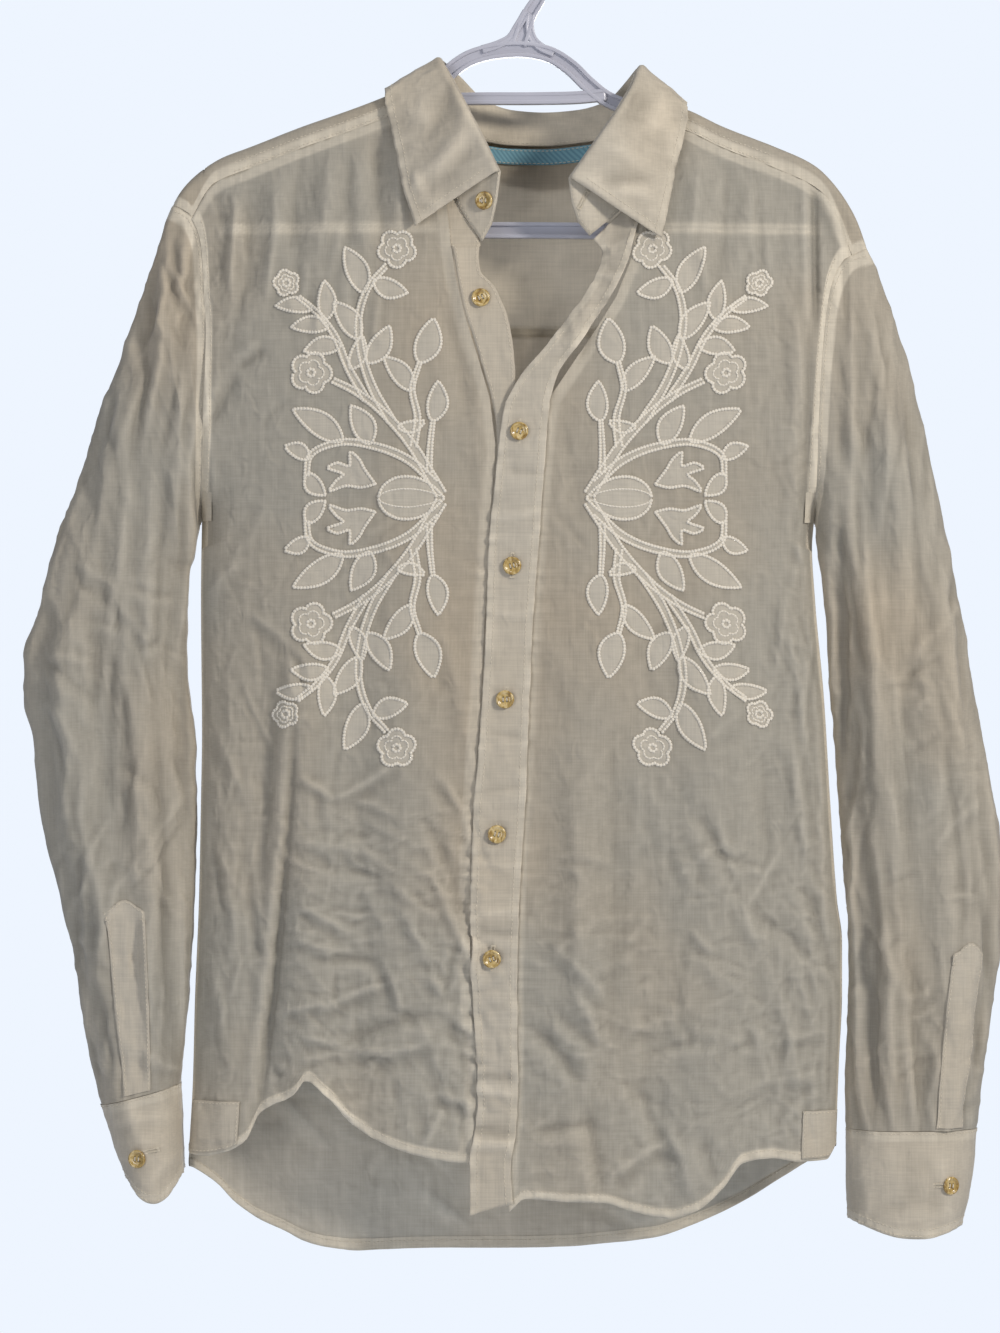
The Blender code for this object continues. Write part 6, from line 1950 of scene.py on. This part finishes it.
# Flat size in metres of the cloth that shows, all round on a tube.
CUTS = [
    # piece, width, length, area in square metres where it isn't a rectangle, what it lies on
    ("front_right_voile", 0.235, 0.73, 0.13, "yoke_voile"),
    ("front_left_voile", 0.25, 0.75, 0.142, "yoke_voile"),
    ("back_voile", 0.51, 0.65, 0.28, "yoke_voile"),
    ("yoke_voile", 0.48, 0.17, 0.06, "hanger_plastic"),
    ("sleeve_right_voile", 0.42, 0.61, 0.15, "yoke_voile"),
    ("sleeve_left_voile", 0.42, 0.61, 0.15, "yoke_voile"),
    ("cuff_right_voile", 0.2, 0.12, None, "sleeve_right_voile"),
    ("cuff_left_voile", 0.2, 0.12, None, "sleeve_left_voile"),
    ("collar_stand_voile", 0.47, 0.034, None, "yoke_voile"),
    ("collar_leaf_voile", 0.5, 0.075, 0.029, "yoke_voile"),
    ("placket_left_voile", 0.036, 0.66, None, "front_left_voile"),
    ("placket_right_voile", 0.033, 0.64, None, "front_right_voile"),
    ("neck_tape_twill", 0.082, 0.0105, None, "back_voile"),
    ("gusset_right_voile", 0.033, 0.031, None, "front_right_voile"),
    ("gusset_left_voile", 0.025, 0.029, None, "front_left_voile"),
    ("sleeve_placket_right_voile", 0.024, 0.13, None, "sleeve_right_voile"),
    ("sleeve_placket_left_voile", 0.024, 0.13, None, "sleeve_left_voile"),
]
for name, width, length, area, below in CUTS:
    if name.startswith("front_"):
        word = name.split("_")[1]


# Stage, light and camera.
def pale_stage():
    """The floor, and a world that is pale to the eye and softer as light."""
    mesh = bpy.data.meshes.new("floor")
    mesh.from_pydata([(-5, -6, -1.9), (5, -6, -1.9), (5, 2.4, -1.9), (-5, 2.4, -1.9)], [], [(0, 1, 2, 3)])
    paint, _, _ = finish_of("Matt pale paint", Roughness=0.9)
    paint.node_tree.nodes["Principled BSDF"].inputs["Base Color"].default_value = linear("#E8EEF6")
    floor = link("floor", mesh, paint)
    world = bpy.data.worlds.new("pale room")
    bpy.context.scene.world = world
    world.use_nodes = True
    tree = world.node_tree
    tree.nodes.clear()
    seen = add(tree, "ShaderNodeBackground", {"Color": linear("#EEF5FF"), "Strength": 1.0})
    glow = add(tree, "ShaderNodeBackground", {"Color": linear("#E9F0FF"), "Strength": 0.34})
    ray = add(tree, "ShaderNodeLightPath").outputs["Is Camera Ray"]
    mix = add(tree, "ShaderNodeMixShader", {0: ray, 1: glow.outputs[0], 2: seen.outputs[0]})
    add(tree, "ShaderNodeOutputWorld", {"Surface": mix.outputs[0]})


def area_light(name, place, target, size, watts, colour):
    data = bpy.data.lights.new(name, "AREA")
    data.shape, data.size, data.energy = "DISK", size, watts
    data.color = linear(colour)[:3]
    lamp = bpy.data.objects.new(name, data)
    bpy.context.scene.collection.objects.link(lamp)
    lamp.location = place
    lamp.rotation_euler = (Vector(target) - Vector(place)).to_track_quat("-Z", "Y").to_euler()


FRAME_HEIGHT = 1333 * UNIT * MM
DISTANCE = 3.0


def add_camera():
    data = bpy.data.cameras.new("camera")
    data.sensor_width = 36.0
    data.lens = 36.0 * DISTANCE / FRAME_HEIGHT
    camera = bpy.data.objects.new("camera", data)
    bpy.context.scene.collection.objects.link(camera)
    camera.location = (float(px(500)) * MM, -DISTANCE, float(pz(666.5)) * MM)
    camera.rotation_euler = (math.radians(90), 0, 0)
    bpy.context.scene.camera = camera


pale_stage()
middle = (0, 0, -0.45)
area_light("key", (1.75, -1.7, 0.45), middle, 0.42, 44, "#FFF9F2")
area_light("fill", (-1.3, -2.4, -0.5), middle, 1.2, 21, "#F6F6FA")
area_light("top", (0.3, -0.6, 1.4), middle, 0.5, 5, "#FFFFFF")
area_light("behind", (0.5, 2.2, -0.5), middle, 1.6, 34, "#F4F7FF")
add_camera()
bpy.context.scene.view_settings.view_transform = "Standard"
